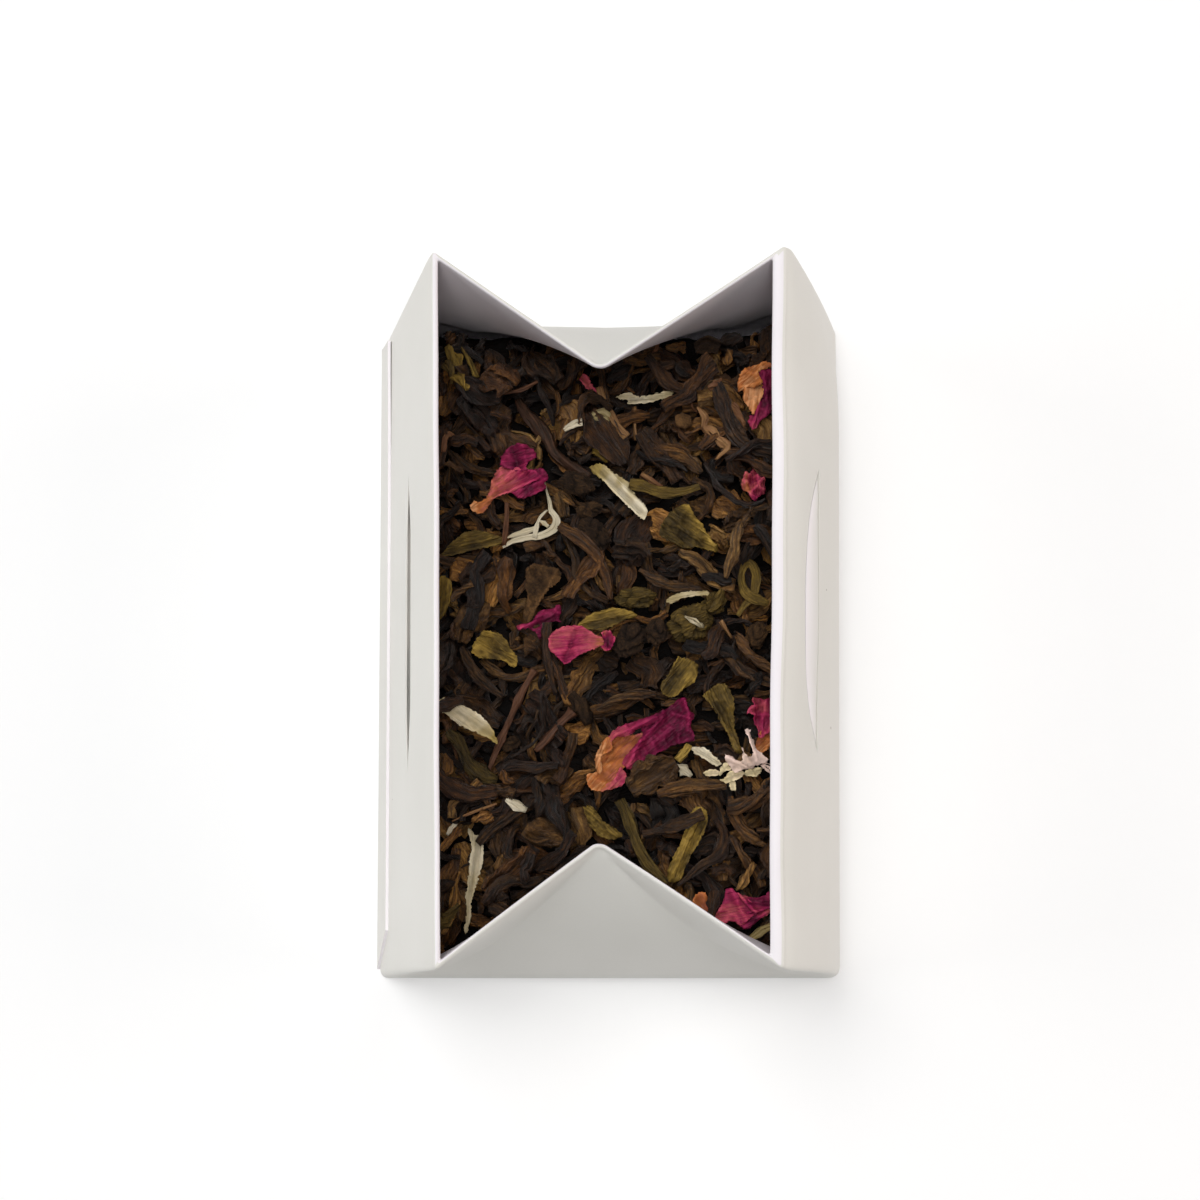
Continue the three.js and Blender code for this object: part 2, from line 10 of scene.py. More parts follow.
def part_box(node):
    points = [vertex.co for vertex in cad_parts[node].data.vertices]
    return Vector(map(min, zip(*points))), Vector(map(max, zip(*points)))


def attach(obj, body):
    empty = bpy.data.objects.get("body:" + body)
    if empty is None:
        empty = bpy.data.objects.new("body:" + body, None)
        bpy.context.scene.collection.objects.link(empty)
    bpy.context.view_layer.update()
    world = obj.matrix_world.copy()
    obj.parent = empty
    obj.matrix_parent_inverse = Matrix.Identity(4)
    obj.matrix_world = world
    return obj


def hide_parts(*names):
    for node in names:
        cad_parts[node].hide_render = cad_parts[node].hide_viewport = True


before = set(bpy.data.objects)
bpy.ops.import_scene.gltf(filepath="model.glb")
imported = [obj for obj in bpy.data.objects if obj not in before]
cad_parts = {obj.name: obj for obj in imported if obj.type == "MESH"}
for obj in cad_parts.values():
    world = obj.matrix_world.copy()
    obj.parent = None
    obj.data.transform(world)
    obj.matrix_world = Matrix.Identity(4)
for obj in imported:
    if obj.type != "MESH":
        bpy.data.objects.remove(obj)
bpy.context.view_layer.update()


# --- Camera -------------------------------------------------------------------------------------------
# The sachet is seen from above, from over its near end, with a little of both long panels showing.

CAMERA_PLACE, CAMERA_TIP, CAMERA_LENS, CAMERA_SHIFT = (-0.0013, -0.0526, 0.3101), math.radians(7.78), 62.0, 0.10
scene = bpy.context.scene
camera_data = bpy.data.cameras.new("camera")
camera_data.sensor_width, camera_data.lens = 36, CAMERA_LENS
camera_data.shift_y, camera_data.clip_end = CAMERA_SHIFT, 10
camera = bpy.data.objects.new("camera", camera_data)
camera.location = CAMERA_PLACE
camera.rotation_euler = (CAMERA_TIP, 0, 0)
scene.collection.objects.link(camera)
scene.camera = camera


# --- Folded card --------------------------------------------------------------------------------------
# One sheet of white coated card: a base, two long panels that lean inwards and two ends tucked in by V
# folds. The top edge is rolled over and turned down inside as a hem. All lengths are millimetres.

MM = 0.001
BASE_LENGTH, BASE_WIDTH, RIM_HEIGHT = 98.0, 70.4, 36.0
LEAN, PLY, FOOT_FOLD, CORNER_RADIUS = 11.0, 0.45, 0.5, 1.3
LEFT_BOW, RIGHT_BOW, END_BOW = 1.0, 1.9, 1.8
NEAR_TUCK, FAR_TUCK, TUCK_SHIFT, PEAK_WIDTH, CREASE_START = 16.8, 14.3, -1.4, 0.8, 2.6
ROLL_RISE, ROLL_WIDTH, ROLL_START, ROLL_SHARE = 0.5, {"left": 1.1, "right": 2.4, "end": 0.8}, 0.2, 0.93
HEM_DEPTH, HEM_LOOSE = 22.0, 0.22
PANEL_HEIGHT = RIM_HEIGHT - ROLL_RISE
SLANT = math.hypot(PANEL_HEIGHT, LEAN)
LEFT_FOOT = -BASE_WIDTH / 2 + PLY * PANEL_HEIGHT / SLANT
RIGHT_FOOT = BASE_WIDTH / 2
RING_SIDES = ("end", "end", "end", "right", "end", "end", "end", "left")
RING_SPANS = (14, 20, 14, 56, 14, 20, 14, 56)
ARC_POINTS = 6

# How far the hand-folded panels stand out of the true box, across: left and right, at each end.
FOOT_NEAR, FOOT_FAR, RIM_NEAR, RIM_FAR = (-0.65, -1.15), (0.0, 0.15), (-0.3, -0.85), (1.1, 0.95)
# How much longer they are at the far end: left and right at the rim, and the right one's foot.
RIM_STRETCH, FOOT_STRETCH, BOW_LOST = (1.9, 2.9), 2.3, 0.85
# The pressed marks beside each peak: across, up and deep.
PUCKERS = ((0.7, -1.2, 0.30), (-0.9, -2.2, 0.16), (2.2, -3.1, 0.15), (0.3, 0.4, 0.14))
NEAR_PEAK, FAR_PEAK = (-BASE_LENGTH / 2 + NEAR_TUCK, 34.4), (BASE_LENGTH / 2 - FAR_TUCK, 35.2)


def panel_lines(share):
    """Where both long panels and both creases of an end stand across, at a share of the panels' height."""
    crease_left = (1 - share) * (LEFT_FOOT + CREASE_START) + share * (TUCK_SHIFT - PEAK_WIDTH / 2)
    crease_right = (1 - share) * (RIGHT_FOOT - CREASE_START) + share * (TUCK_SHIFT + PEAK_WIDTH / 2)
    return LEFT_FOOT + LEAN * share**LEFT_BOW, RIGHT_FOOT - LEAN * share**RIGHT_BOW, crease_left, crease_right


def fold_points(share, rise=0.0):
    """The card's corners and creases at one share of the panels' height, anticlockwise from near left."""
    left, right, crease_left, crease_right = panel_lines(share)
    corner_z = PANEL_HEIGHT * share + rise
    half = BASE_LENGTH / 2
    near_y, near_z = NEAR_TUCK * share**END_BOW - half, math.sqrt(SLANT**2 - NEAR_TUCK**2) * share + rise
    far_y, far_z = half - FAR_TUCK * share**END_BOW, math.sqrt(SLANT**2 - FAR_TUCK**2) * share + rise
    return np.array([
        (left, -half, corner_z), (crease_left, near_y, near_z), (crease_right, near_y, near_z),
        (right, -half, corner_z), (right, half, corner_z), (crease_right, far_y, far_z),
        (crease_left, far_y, far_z), (left, half, corner_z),
    ])


def step_in(points, insets):
    """Moves the fold points inwards so that each panel steps in by its own inset."""
    depth = np.array([insets[side] for side in RING_SIDES])
    along = np.roll(points, -1, 0) - points
    normals = np.stack([-along[:, 1], along[:, 0]], 1)
    normals /= np.linalg.norm(normals, axis=1, keepdims=True)
    before = np.roll(normals, 1, 0)
    depth_before = np.roll(depth, 1)
    lean = (normals * before).sum(1)
    spread = np.maximum(1 - lean**2, 1e-9)
    move = normals * ((depth - depth_before * lean) / spread)[:, None]
    move += before * ((depth_before - depth * lean) / spread)[:, None]
    straight = 1 - lean**2 < 1e-6
    move[straight] = normals[straight] * depth[straight][:, None]
    moved = points.copy()
    moved[:, :2] += move
    return moved


def card_ring(share, insets, rise=0.0):
    """One closed ring of the card with rounded corner folds, softly pressed creases and even spans."""
    points = step_in(fold_points(share, rise), insets)
    corner_reach = max(CORNER_RADIUS - max(insets.values()), 0.4) * 1.2
    arcs = []
    for i, point in enumerate(points):
        before, after = points[i - 1] - point, points[(i + 1) % 8] - point
        reach = corner_reach if i in (0, 3, 4, 7) else 0.42 + 0.2 * share**6
        start = point + before * min(reach / np.linalg.norm(before), 0.45)
        end = point + after * min(reach / np.linalg.norm(after), 0.45)
        steps = np.linspace(0, 1, ARC_POINTS)[:, None]
        arcs.append((1 - steps) ** 2 * start + 2 * steps * (1 - steps) * point + steps**2 * end)
    ring = []
    for i, arc in enumerate(arcs):
        steps = np.linspace(0, 1, RING_SPANS[i] + 1)[1:-1, None]
        ring += [arc, (1 - steps) * arc[-1] + steps * arcs[(i + 1) % 8][0]]
    return np.concatenate(ring)


def rolled(reach):
    """Each side's inset at a share of the way over the rolled rim."""
    return {side: width * reach for side, width in ROLL_WIDTH.items()}


def hem_wall(share):
    """Wall thickness: two plies where the hem lies on the panel, loosening to the roll at the rim."""
    loose = min(max((share - 1 + HEM_LOOSE) / HEM_LOOSE, 0), 1)
    loose = loose * loose * (3 - 2 * loose)
    return {side: (1 - loose) * 2 * PLY + loose * width for side, width in ROLL_WIDTH.items()}


def taper(x, y, share):
    """How far the hand-folded sheet stands from the true box, across and along: drawn in towards its near
    end, longer at the rims and skewed at the far right corner."""
    near = np.clip(0.5 - y / BASE_LENGTH, 0, 1)
    left, right = [
        (1 - share) * (far_foot + (near_foot - far_foot) * near) + share * (far_rim + (near_rim - far_rim) * near)
        for near_foot, far_foot, near_rim, far_rim in zip(FOOT_NEAR, FOOT_FAR, RIM_NEAR, RIM_FAR)]
    right = right - BOW_LOST * LEAN * (share - share**RIGHT_BOW) * np.clip((y - 30) / 18, 0, 1) ** 2
    across = np.clip(2 * x / (BASE_WIDTH - 2 * LEAN * share), -1, 1)
    corner = np.clip((np.abs(across) - 0.3) / 0.7, 0, 1)
    stretch = np.where(across < 0, *RIM_STRETCH) * share * np.abs(across)
    stretch += np.where(across < 0, 0, FOOT_STRETCH) * (1 - share) * corner
    return np.where(across < 0, left, right) * across, (1 - near) * stretch


def card_give(places):
    """The small play of a folded sheet: a slight taper, soft waves along the rims, a bow round the tongue,
    puckers at the two peaks and pressed marks beside them."""
    x, y, z = places.T
    share = np.clip(z / PANEL_HEIGHT, 0, 1)
    off_peak = x - TUCK_SHIFT
    give = np.zeros_like(places)
    give[:, 0], give[:, 1] = taper(x, y, share)
    long_panel = np.clip((np.abs(x) - 20) / 4, 0, 1) * (np.abs(y) < BASE_LENGTH / 2 - 0.6)
    wave = 0.10 * np.sin(0.11 * y + 0.6) + 0.05 * np.sin(0.29 * y + 2.1 * np.sign(x))
    give[:, 0] += long_panel * share**2 * wave * np.where(x > 0, 1.6, 0.6)
    above_tongue = np.exp(-(((y - 2) / 15) ** 2) - ((z - 31.5) / 2.2) ** 2)
    slit_lip = np.exp(-(((y + 2) / 17) ** 4) - ((z - 18.6) / 1.4) ** 2)
    give[:, 0] += np.where(x > 15, 0.38 * above_tongue, 0) - np.where(x < -15, 0.22 * slit_lip, 0)
    end_face = np.clip((np.abs(y) - 26) / 4, 0, 1) * np.clip((24 - np.abs(off_peak)) / 8, 0, 1)
    bulge = 0.5 * share * (1 - share) * 4 * np.cos(np.clip(off_peak / 34, -1, 1) * math.pi / 2)
    give[:, 1] += np.sign(y) * end_face * bulge
    leg = np.array([24.2, -BASE_LENGTH / 2]) - (TUCK_SHIFT + 0.5, NEAR_PEAK[0])
    leg /= np.linalg.norm(leg)
    off_leg = (off_peak - 0.5) * leg[1] - (y - NEAR_PEAK[0]) * leg[0]
    pressed = np.exp(-((off_leg / (1.1 + 1.2 * share)) ** 2)) * np.clip(off_peak / 2, 0, 1) * (y < -30)
    give[:, 2] -= 0.32 * pressed * np.clip((z - 8) / 10, 0, 1)
    for peak_y, peak_z in (NEAR_PEAK, FAR_PEAK):
        for across, up, deep in PUCKERS:
            reach = (off_peak - across) ** 2 / 0.8 + (y - peak_y) ** 2 / 6 + (z - peak_z - up) ** 2 / 0.7
            give[:, 2] -= deep * np.exp(-reach)
    return places + give


def quads(index):
    """Four-sided faces between the neighbours in a grid of point numbers."""
    return np.stack([index[:-1, :-1], index[:-1, 1:], index[1:, 1:], index[1:, :-1]], -1).reshape(-1, 4).tolist()


def tube_faces(rings, size):
    """The faces of a closed tube of rings, without its ends."""
    index = np.arange(rings * size).reshape(rings, size)
    return quads(np.c_[index, index[:, :1]])


def plate_faces(columns, rows):
    """A thin plate's faces over two grids of points: both skins, and the edge between them."""
    index = np.arange(columns * rows).reshape(columns, rows)
    rim = np.concatenate([index[:, -1], index[-1, -2::-1], index[-2::-1, 0], index[0, 1:-1]])
    edge = [(b, a, a + index.size, b + index.size) for a, b in zip(rim, np.roll(rim, -1))]
    return quads(index) + quads(index.T + index.size), edge


def smooth(mesh, sharp=None):
    """Smooth shading, but for edges sharper than an angle in degrees."""
    mesh.polygons.foreach_set("use_smooth", np.ones(len(mesh.polygons), bool))
    if sharp:
        mesh.set_sharp_from_angle(angle=math.radians(sharp))


def add_mesh(name, places, faces, materials, fields=None, sharp=None, face_materials=None):
    """A mesh from millimetres, with named values kept at its points, that rides on the root body."""
    mesh = bpy.data.meshes.new(name)
    mesh.from_pydata((np.asarray(places) * MM).tolist(), [], [list(map(int, face)) for face in faces])
    mesh.validate()
    for field, values in (fields or {}).items():
        values = np.asarray(values, np.float32)
        kind, entry = ("FLOAT", "value") if values.ndim == 1 else ("FLOAT_VECTOR", "vector")
        mesh.attributes.new(field, kind, "POINT").data.foreach_set(entry, values.ravel())
    for material in materials:
        mesh.materials.append(material)
    if face_materials is not None:
        mesh.polygons.foreach_set("material_index", np.asarray(face_materials, np.int32))
    smooth(mesh, sharp)
    mesh.update()
    piece = bpy.data.objects.new(name, mesh)
    scene.collection.objects.link(piece)
    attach(piece, "root")
    return piece


def add_node(tree, kind, settings=None, **inputs):
    """A shader node with its settings, and its plain inputs set by name, or by place as _0, _1 and on."""
    node = tree.nodes.new("ShaderNode" + kind)
    for key, value in (settings or {}).items():
        setattr(node, key, value)
    for key, value in inputs.items():
        node.inputs[int(key[1:]) if key[0] == "_" else key.replace("_", " ")].default_value = value
    return node


def join(tree, *links):
    """Joins sockets: each link is a node and its output, then a node and its input."""
    for source, output, target, entry in links:
        tree.links.new(source.outputs[output], target.inputs[entry])


def new_group(name, inputs, outputs):
    """An empty node group with named float sockets."""
    tree = bpy.data.node_groups.new(name, "ShaderNodeTree")
    for direction, sockets in (("INPUT", inputs), ("OUTPUT", outputs)):
        for socket in sockets:
            tree.interface.new_socket(socket, in_out=direction, socket_type="NodeSocketFloat")
    return tree, tree.nodes.new("NodeGroupInput"), tree.nodes.new("NodeGroupOutput")


def new_finish(name, specular):
    """A material with its node tree and its Principled shader."""
    material = bpy.data.materials.new(name)
    material.use_nodes = True
    shader = material.node_tree.nodes["Principled BSDF"]
    shader.inputs["Specular IOR Level"].default_value = specular
    return material, material.node_tree, shader


def shades(tree, stops):
    """A colour ramp over sRGB stops: (place, (red, green, blue)) with each channel from 0 to 255."""
    ramp = add_node(tree, "ValToRGB")
    elements = ramp.color_ramp.elements
    while len(elements) < len(stops):
        elements.new(0.5)
    for element, (place, colour) in zip(elements, stops):
        element.position = place
        element.color = (*[((c / 255 + 0.055) / 1.055) ** 2.4 if c > 10 else c / 3294.6 for c in colour], 1)
    return ramp


paper_fibre, _, group_out = new_group("paper_fibre", [], ["Tint", "Height"])
where = add_node(paper_fibre, "TexCoord")
fibre = add_node(paper_fibre, "TexNoise", Scale=2600.0, Detail=4.0, Roughness=0.6, Distortion=0.4)
cloud = add_node(paper_fibre, "TexNoise", Scale=45.0, Detail=3.0, Roughness=0.5)
blend = add_node(paper_fibre, "Math", dict(operation="MULTIPLY_ADD"), _1=0.25)
join(paper_fibre, (where, "Object", fibre, "Vector"), (where, "Object", cloud, "Vector"),
     (fibre, "Fac", blend, 0), (cloud, "Fac", blend, 2), (blend, "Value", group_out, "Tint"),
     (fibre, "Fac", group_out, "Height"))


def card_finish(name, stops, roughness, bump, speck=None, highlight_tint=None):
    """Coated card: faint clouds of tone, fine fibres under the coating, a few dark specks outside, and a
    painted highlight, a paler tint that grows with the card's bend value."""
    material, tree, shader = new_finish(name, specular=0.35)
    shader.inputs["Roughness"].default_value = roughness
    paper = add_node(tree, "Group", dict(node_tree=paper_fibre))
    ramp = shades(tree, stops)
    join(tree, (paper, "Tint", ramp, "Fac"))
    colour, marks = (ramp, "Color"), []
    if speck:
        where = add_node(tree, "TexCoord")
        cells = add_node(tree, "TexVoronoi", Scale=95.0)
        split = add_node(tree, "SeparateColor")
        rare = add_node(tree, "Math", dict(operation="GREATER_THAN"), _1=0.78)
        dot = add_node(tree, "Math", dict(operation="LESS_THAN"), _1=0.022)
        both = add_node(tree, "Math", dict(operation="MULTIPLY"))
        join(tree, (where, "Object", cells, "Vector"), (cells, "Distance", dot, 0),
        (cells, "Color", split, "Color"),
             (split, "Red", rare, 0), (dot, "Value", both, 0), (rare, "Value", both, 1))
        marks.append((both, "Value", speck))
    if highlight_tint:
        # Painted highlight: the tint is mixed in by the bend value, which grows towards the tongue's free edge.
        marks.append((add_node(tree, "Attribute", dict(attribute_name="bend")), "Fac", highlight_tint))
    for mask, output, tint in marks:
        mix = add_node(tree, "Mix", dict(data_type="RGBA"), B=(*tint, 1))
        join(tree, (mask, output, mix, "Factor"), (*colour, mix, "A"))
        colour = mix, "Result"
    relief = add_node(tree, "Bump", Strength=bump, Distance=0.00005)
    join(tree, (*colour, shader, "Base Color"), (paper, "Height", relief, "Height"),
         (relief, "Normal", shader, "Normal"))
    return material


COATING = dict(stops=[(0.35, (221, 219, 212)), (0.95, (229, 227, 221))], roughness=0.42, bump=0.25)
card_outside = card_finish("card_outside", **COATING, speck=(0.34, 0.31, 0.27))
# The inside finish is whiter than the outside one: partly the card's own inside, partly a painted highlight where
# it covers the top of the rolled rim.
card_inside_and_rim_highlight = card_finish("card_inside_and_rim_highlight", [(0.35, (236, 231, 234)), (0.95, (243, 239, 242))], 0.5, 0.3)

hem_share = 1 - HEM_DEPTH / SLANT
rings = [card_ring(0, dict.fromkeys(ROLL_WIDTH, FOOT_FOLD))]
for lift in (0.15, 0.5, 1.0):
    inset = FOOT_FOLD * (1 - math.sqrt(1 - (1 - lift) ** 2))
    rings.append(card_ring(lift * FOOT_FOLD / PANEL_HEIGHT, dict.fromkeys(ROLL_WIDTH, inset)))
for share in np.concatenate([np.linspace(0.05, ROLL_SHARE, 30), np.linspace(0.94, 1, 8)]):
    reach = ROLL_START * (max(share - ROLL_SHARE, 0) / 0.07) ** 2
    rings.append(card_ring(share, rolled(reach)))
outside_rings = len(rings)
for angle in np.linspace(0, math.pi, 13)[1:]:
    reach = ROLL_START + (1 - ROLL_START) * (1 - math.cos(angle)) / 2
    rings.append(card_ring(1, rolled(reach), ROLL_RISE * math.sin(angle)))
rings += [card_ring(share, hem_wall(share)) for share in np.linspace(0.985, hem_share, 24)]
rings += [card_ring(share, dict.fromkeys(ROLL_WIDTH, PLY))
          for share in np.linspace(hem_share - 0.012, PLY / PANEL_HEIGHT, 8)]
ring_size = len(rings[0])
places = card_give(np.concatenate(rings))
places[:ring_size, 2] = 0
faces = tube_faces(len(rings), ring_size)
on_end = np.repeat([side == "end" for side in RING_SIDES], [span + ARC_POINTS - 1 for span in RING_SPANS])
# The inside finish starts partway over the roll. On the long panels it covers the rim's top as a painted
# highlight; on the ends it starts past the top.
turn_over = outside_rings + 3 + 3 * np.tile(on_end, len(rings) - 1)
inner = np.arange(len(faces)) >= turn_over * ring_size
underside, inside_floor = range(ring_size - 1, -1, -1), range((len(rings) - 1) * ring_size, len(rings) * ring_size)
card_shell = add_mesh("card_shell", places, [*faces, underside, inside_floor], [card_outside, card_inside_and_rim_highlight],
                      face_materials=[*inner, 0, 1])


# --- Slit and tongue of the closure -------------------------------------------------------------------
# The right panel has a die-cut crescent tongue, scored at its foot and bent over at its free edge, and
# painted paler towards that edge as a painted highlight. The left panel has the slit that it goes into when
# the sachet is shut.

CLOSURE_SHIFT, SLIT_LENGTH, SLIT_HEIGHT, SLIT_WIDTH, SLIT_TAPER, SLIT_SKIN = 0.5, 43.0, 21.0, 3.2, 9.0, 0.1
TONGUE_LENGTH, TONGUE_DEPTH, TONGUE_HINGE, TONGUE_KERF = 39.5, 7.0, 25.4, 0.45
TONGUE_STEPS = (-0.7, -0.1, 0.03, 0.1, 0.25, 0.4, 0.55, 0.7, 0.8, 0.9, 1.0)
CUT_REACH = 1.8


def panel_frame(side, low_share, high_share):
    """X along the sachet, Y up the long panel and Z out of the card. side is -1 left and 1 right."""
    low, high = [Vector((panel_lines(share)[int(side > 0)], 0, PANEL_HEIGHT * share))
                 for share in (low_share, high_share)]
    up = (high - low).normalized()
    along = Vector((0, side, 0))
    return Matrix.Translation(low) @ Matrix((along, up, along.cross(up))).transposed().to_4x4()


def cut_out(piece, outline, place, high=CUT_REACH):
    """Cuts a prism on the outline through the card and leaves the rest of the mesh as it is."""
    count = len(outline)
    ends = card_give(np.array([place @ Vector((x, y, z)) for z in (-CUT_REACH, high) for x, y in outline])) * MM
    mesh = bpy.data.meshes.new("cutter")
    mesh.from_pydata(ends.tolist(), [], [range(count - 1, -1, -1), *tube_faces(2, count), range(count, 2 * count)])
    cutter = bpy.data.objects.new("cutter", mesh)
    scene.collection.objects.link(cutter)
    modifier = piece.modifiers.new("cut", "BOOLEAN")
    modifier.object, modifier.operation, modifier.solver = cutter, "DIFFERENCE", "EXACT"
    graph = bpy.context.evaluated_depsgraph_get()
    graph.update()
    cut = bpy.data.meshes.new_from_object(piece.evaluated_get(graph))
    piece.modifiers.clear()
    old, name = piece.data, piece.data.name
    piece.data = cut
    bpy.data.meshes.remove(old)
    cut.name = name
    bpy.data.objects.remove(cutter)
    bpy.data.meshes.remove(mesh)


def segment_outline(length, depth, steps=40):
    """A circle's segment standing on its chord, anticlockwise from the chord's right end."""
    radius = (length**2 / 4 + depth**2) / (2 * depth)
    half = math.asin(length / 2 / radius)
    angles = np.linspace(half, -half, steps + 1)
    return [(radius * math.sin(a) + CLOSURE_SHIFT, radius * math.cos(a) - radius + depth) for a in angles]


half = SLIT_LENGTH / 2
slit_arc = [(half, 0), (half - SLIT_TAPER, 0.5), (0, 0.5), (SLIT_TAPER - half, 0.5), (-half, 0)]
slit_arc += [(x, -0.6 * lift) for x, lift in slit_arc[3:0:-1]]
undercut = [(half - 2, 0.4), (half - 5, 1), (5 - half, 1), (2 - half, 0.4), (2 - half, -0.8), (5 - half, -2.4),
            (half - 5, -2.4), (half - 2, -0.8)]
for outline, width, high in ((slit_arc, SLIT_WIDTH, CUT_REACH), (undercut, 1, -SLIT_SKIN)):
    outline = [(x - CLOSURE_SHIFT, SLIT_HEIGHT + lift * width) for x, lift in outline]
    cut_out(card_shell, outline, panel_frame(-1, 0, 1), high)
hinge_share = TONGUE_HINGE / PANEL_HEIGHT
tongue_place = panel_frame(1, hinge_share, hinge_share + TONGUE_DEPTH / SLANT)
cut_out(card_shell, segment_outline(TONGUE_LENGTH, TONGUE_DEPTH), tongue_place)
smooth(card_shell.data, sharp=50)
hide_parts("folded_carton")

arc = segment_outline(TONGUE_LENGTH - 2 * TONGUE_KERF, TONGUE_DEPTH - TONGUE_KERF)
tongue_places, bend = [], []
for skin_z in (0.02, -1.7 * PLY):
    for x, top in arc:
        for step in TONGUE_STEPS:
            up = step if step < 0 else top * step
            press = max(up, 0)
            bulge = 0.258 * press * top / TONGUE_DEPTH - 0.0375 * press**2
            scored = 0.4 * math.exp(-((press / 0.35) ** 2))
            tongue_places.append(tuple(tongue_place @ Vector((x, up, skin_z + bulge - scored))))
            # The bend value sets the painted highlight, paler towards the tongue's free edge.
            bend.append(max(step, 0) ** 1.3 * min(top / 3, 1))
skins, edge = plate_faces(len(arc), len(TONGUE_STEPS))
card_tongue_highlight = card_finish("card_tongue_highlight", **COATING, highlight_tint=(0.92, 0.88, 0.9))
card_tongue = add_mesh("card_tongue", card_give(np.array(tongue_places)), skins + edge, [card_tongue_highlight],
                       {"bend": bend}, sharp=50)
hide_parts("folded_carton")


# --- Glued flap ---------------------------------------------------------------------------------------
# The strip that closes the sheet into a tube: glued along the foot of the left panel, its ends cut
# back, with a bright cut edge that lifts a hair off the panel towards the far end.

FLAP_HEIGHT, FLAP_NEAR_TAPER, FLAP_FAR_TAPER, FLAP_LIFT, GLUE_SINK = 6.6, 5.5, 0.9, 0.1, 0.1
FLAP_COLUMNS, FLAP_ROWS = 90, 7
flap_place = panel_frame(-1, 0, 1)
half = BASE_LENGTH / 2 - CORNER_RADIUS
flap_places = []
for skin in ("back", "front"):
    for c in range(FLAP_COLUMNS):
        for r in range(FLAP_ROWS):
            rise = r / (FLAP_ROWS - 1)
            start, end = FLAP_FAR_TAPER * rise - half, half - FLAP_NEAR_TAPER * rise
            x = start + (end - start) * c / (FLAP_COLUMNS - 1)
            lift = FLAP_LIFT * rise**3 * (1 + 1.6 * math.exp(-((x + half) / 14) ** 2))
            z = (PLY * (0.9 if rise < 1 else 0.75) if skin == "front" else -GLUE_SINK) + lift
            flap_places.append(tuple(flap_place @ Vector((x, max(FLAP_HEIGHT * rise, 0.08), z))))
skins, edge = plate_faces(FLAP_COLUMNS, FLAP_ROWS)
card_flap = add_mesh("card_flap", card_give(np.array(flap_places)), skins + edge, [card_outside, card_inside_and_rim_highlight],
                     sharp=40, face_materials=[0] * len(skins) + [1] * len(edge))
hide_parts("folded_carton")


# --- Loose tea ----------------------------------------------------------------------------------------
# Black tea, rolled and dried: each leaf a twisted, ridged strand or a crumpled flake. The leaves lie on and
# between each other, up to just under the pieces that show on top, over a floor of fine tea coloured darker
# than the leaves as painted shade deep between them.

TEA_LEVEL, TEA_RISE, FAR_LEFT_DIP, TEA_LUMP = 17.0, 2.2, 2.2, 0.7
BED_DEPTH, HEAP_START = 4.0, 4.2
CELL = 0.3
GRID_X = np.arange(-36, 36.01, CELL)
GRID_Y = np.arange(-50, 50.01, CELL)
HEAP_X, HEAP_Y = (-27, 28), (-46, 46)
WALL_GAP, SHOWN_SHARE, STEEPEST = 0.1, 0.14, 0.38
LENGTHS = dict(strand=(5.5, 12), flake=(4.0, 9), hook=(7, 12), bit=(1.8, 4.5))
WIDTHS = dict(strand=(1.4, 3.0), flake=(2.8, 5.4), hook=(1.1, 1.9), bit=(1.0, 2.4))
RINGS = dict(strand=15, flake=14, hook=18, bit=8)
BED_ROWS, BED_COLUMNS, BED_LENGTH, BED_WIDTH = 60, 44, 96, 62
chance = np.random.default_rng(11)


def tea_height(x, y):
    """The heap's general surface, higher towards the right and low in the far left corner."""
    across, along = x / (BASE_WIDTH / 2), y / (BASE_LENGTH / 2)
    dip = FAR_LEFT_DIP * np.maximum(-across, 0) * np.maximum(along, 0)
    lump = np.sin(0.62 * x + 1.3) * np.cos(0.47 * y) + 0.6 * np.sin(1.05 * x - 0.8 * y)
    return TEA_LEVEL + TEA_RISE * across - dip + TEA_LUMP * lump


def room_left(x, y, z):
    """How far a point is inside the card's inner faces, in millimetres."""
    share = np.clip(z / PANEL_HEIGHT, 0, 1)
    x = x - taper(x, y, share)[0]
    left, right, crease_left, crease_right = panel_lines(share)
    tuck = np.clip(np.minimum((x - left) / (crease_left - left), (right - x) / (right - crease_right)), 0, 1)
    near = NEAR_TUCK * share**END_BOW * tuck - BASE_LENGTH / 2
    far = BASE_LENGTH / 2 - FAR_TUCK * share**END_BOW * tuck
    ends = 0.85 * np.minimum(y - near, far - y)
    return np.minimum(np.minimum(x - left, right - x) * 0.95, ends) - 2 * PLY - WALL_GAP


class Pile:
    """Leaves gathered for one mesh, with each point's place along its own grain, its tone and how deep it
    lies in a fold, which the finish paints as shade in folds and highlight on crests."""

    def __init__(self):
        self.places, self.faces, self.grain, self.tone, self.fold, self.count = [], [], [], [], [], 0

    def add(self, places, faces, grain, tone, fold):
        self.places.append(places)
        self.faces += [[i + self.count for i in face] for face in faces]
        self.grain.append(grain)
        self.tone.append(np.broadcast_to(tone, len(places)))
        self.fold.append(np.broadcast_to(fold, len(places)))
        self.count += len(places)

    def build(self, name, material, slot, *nodes):
        fields = {field: np.concatenate(getattr(self, field)) for field in ("grain", "tone", "fold")}
        piece = add_mesh(name, np.concatenate(self.places), self.faces, [material], fields)
        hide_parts(*nodes)


def run_along(path):
    """The distance run at each point of a path."""
    return np.concatenate([[0], np.cumsum(np.linalg.norm(np.diff(path, axis=0), axis=1))])


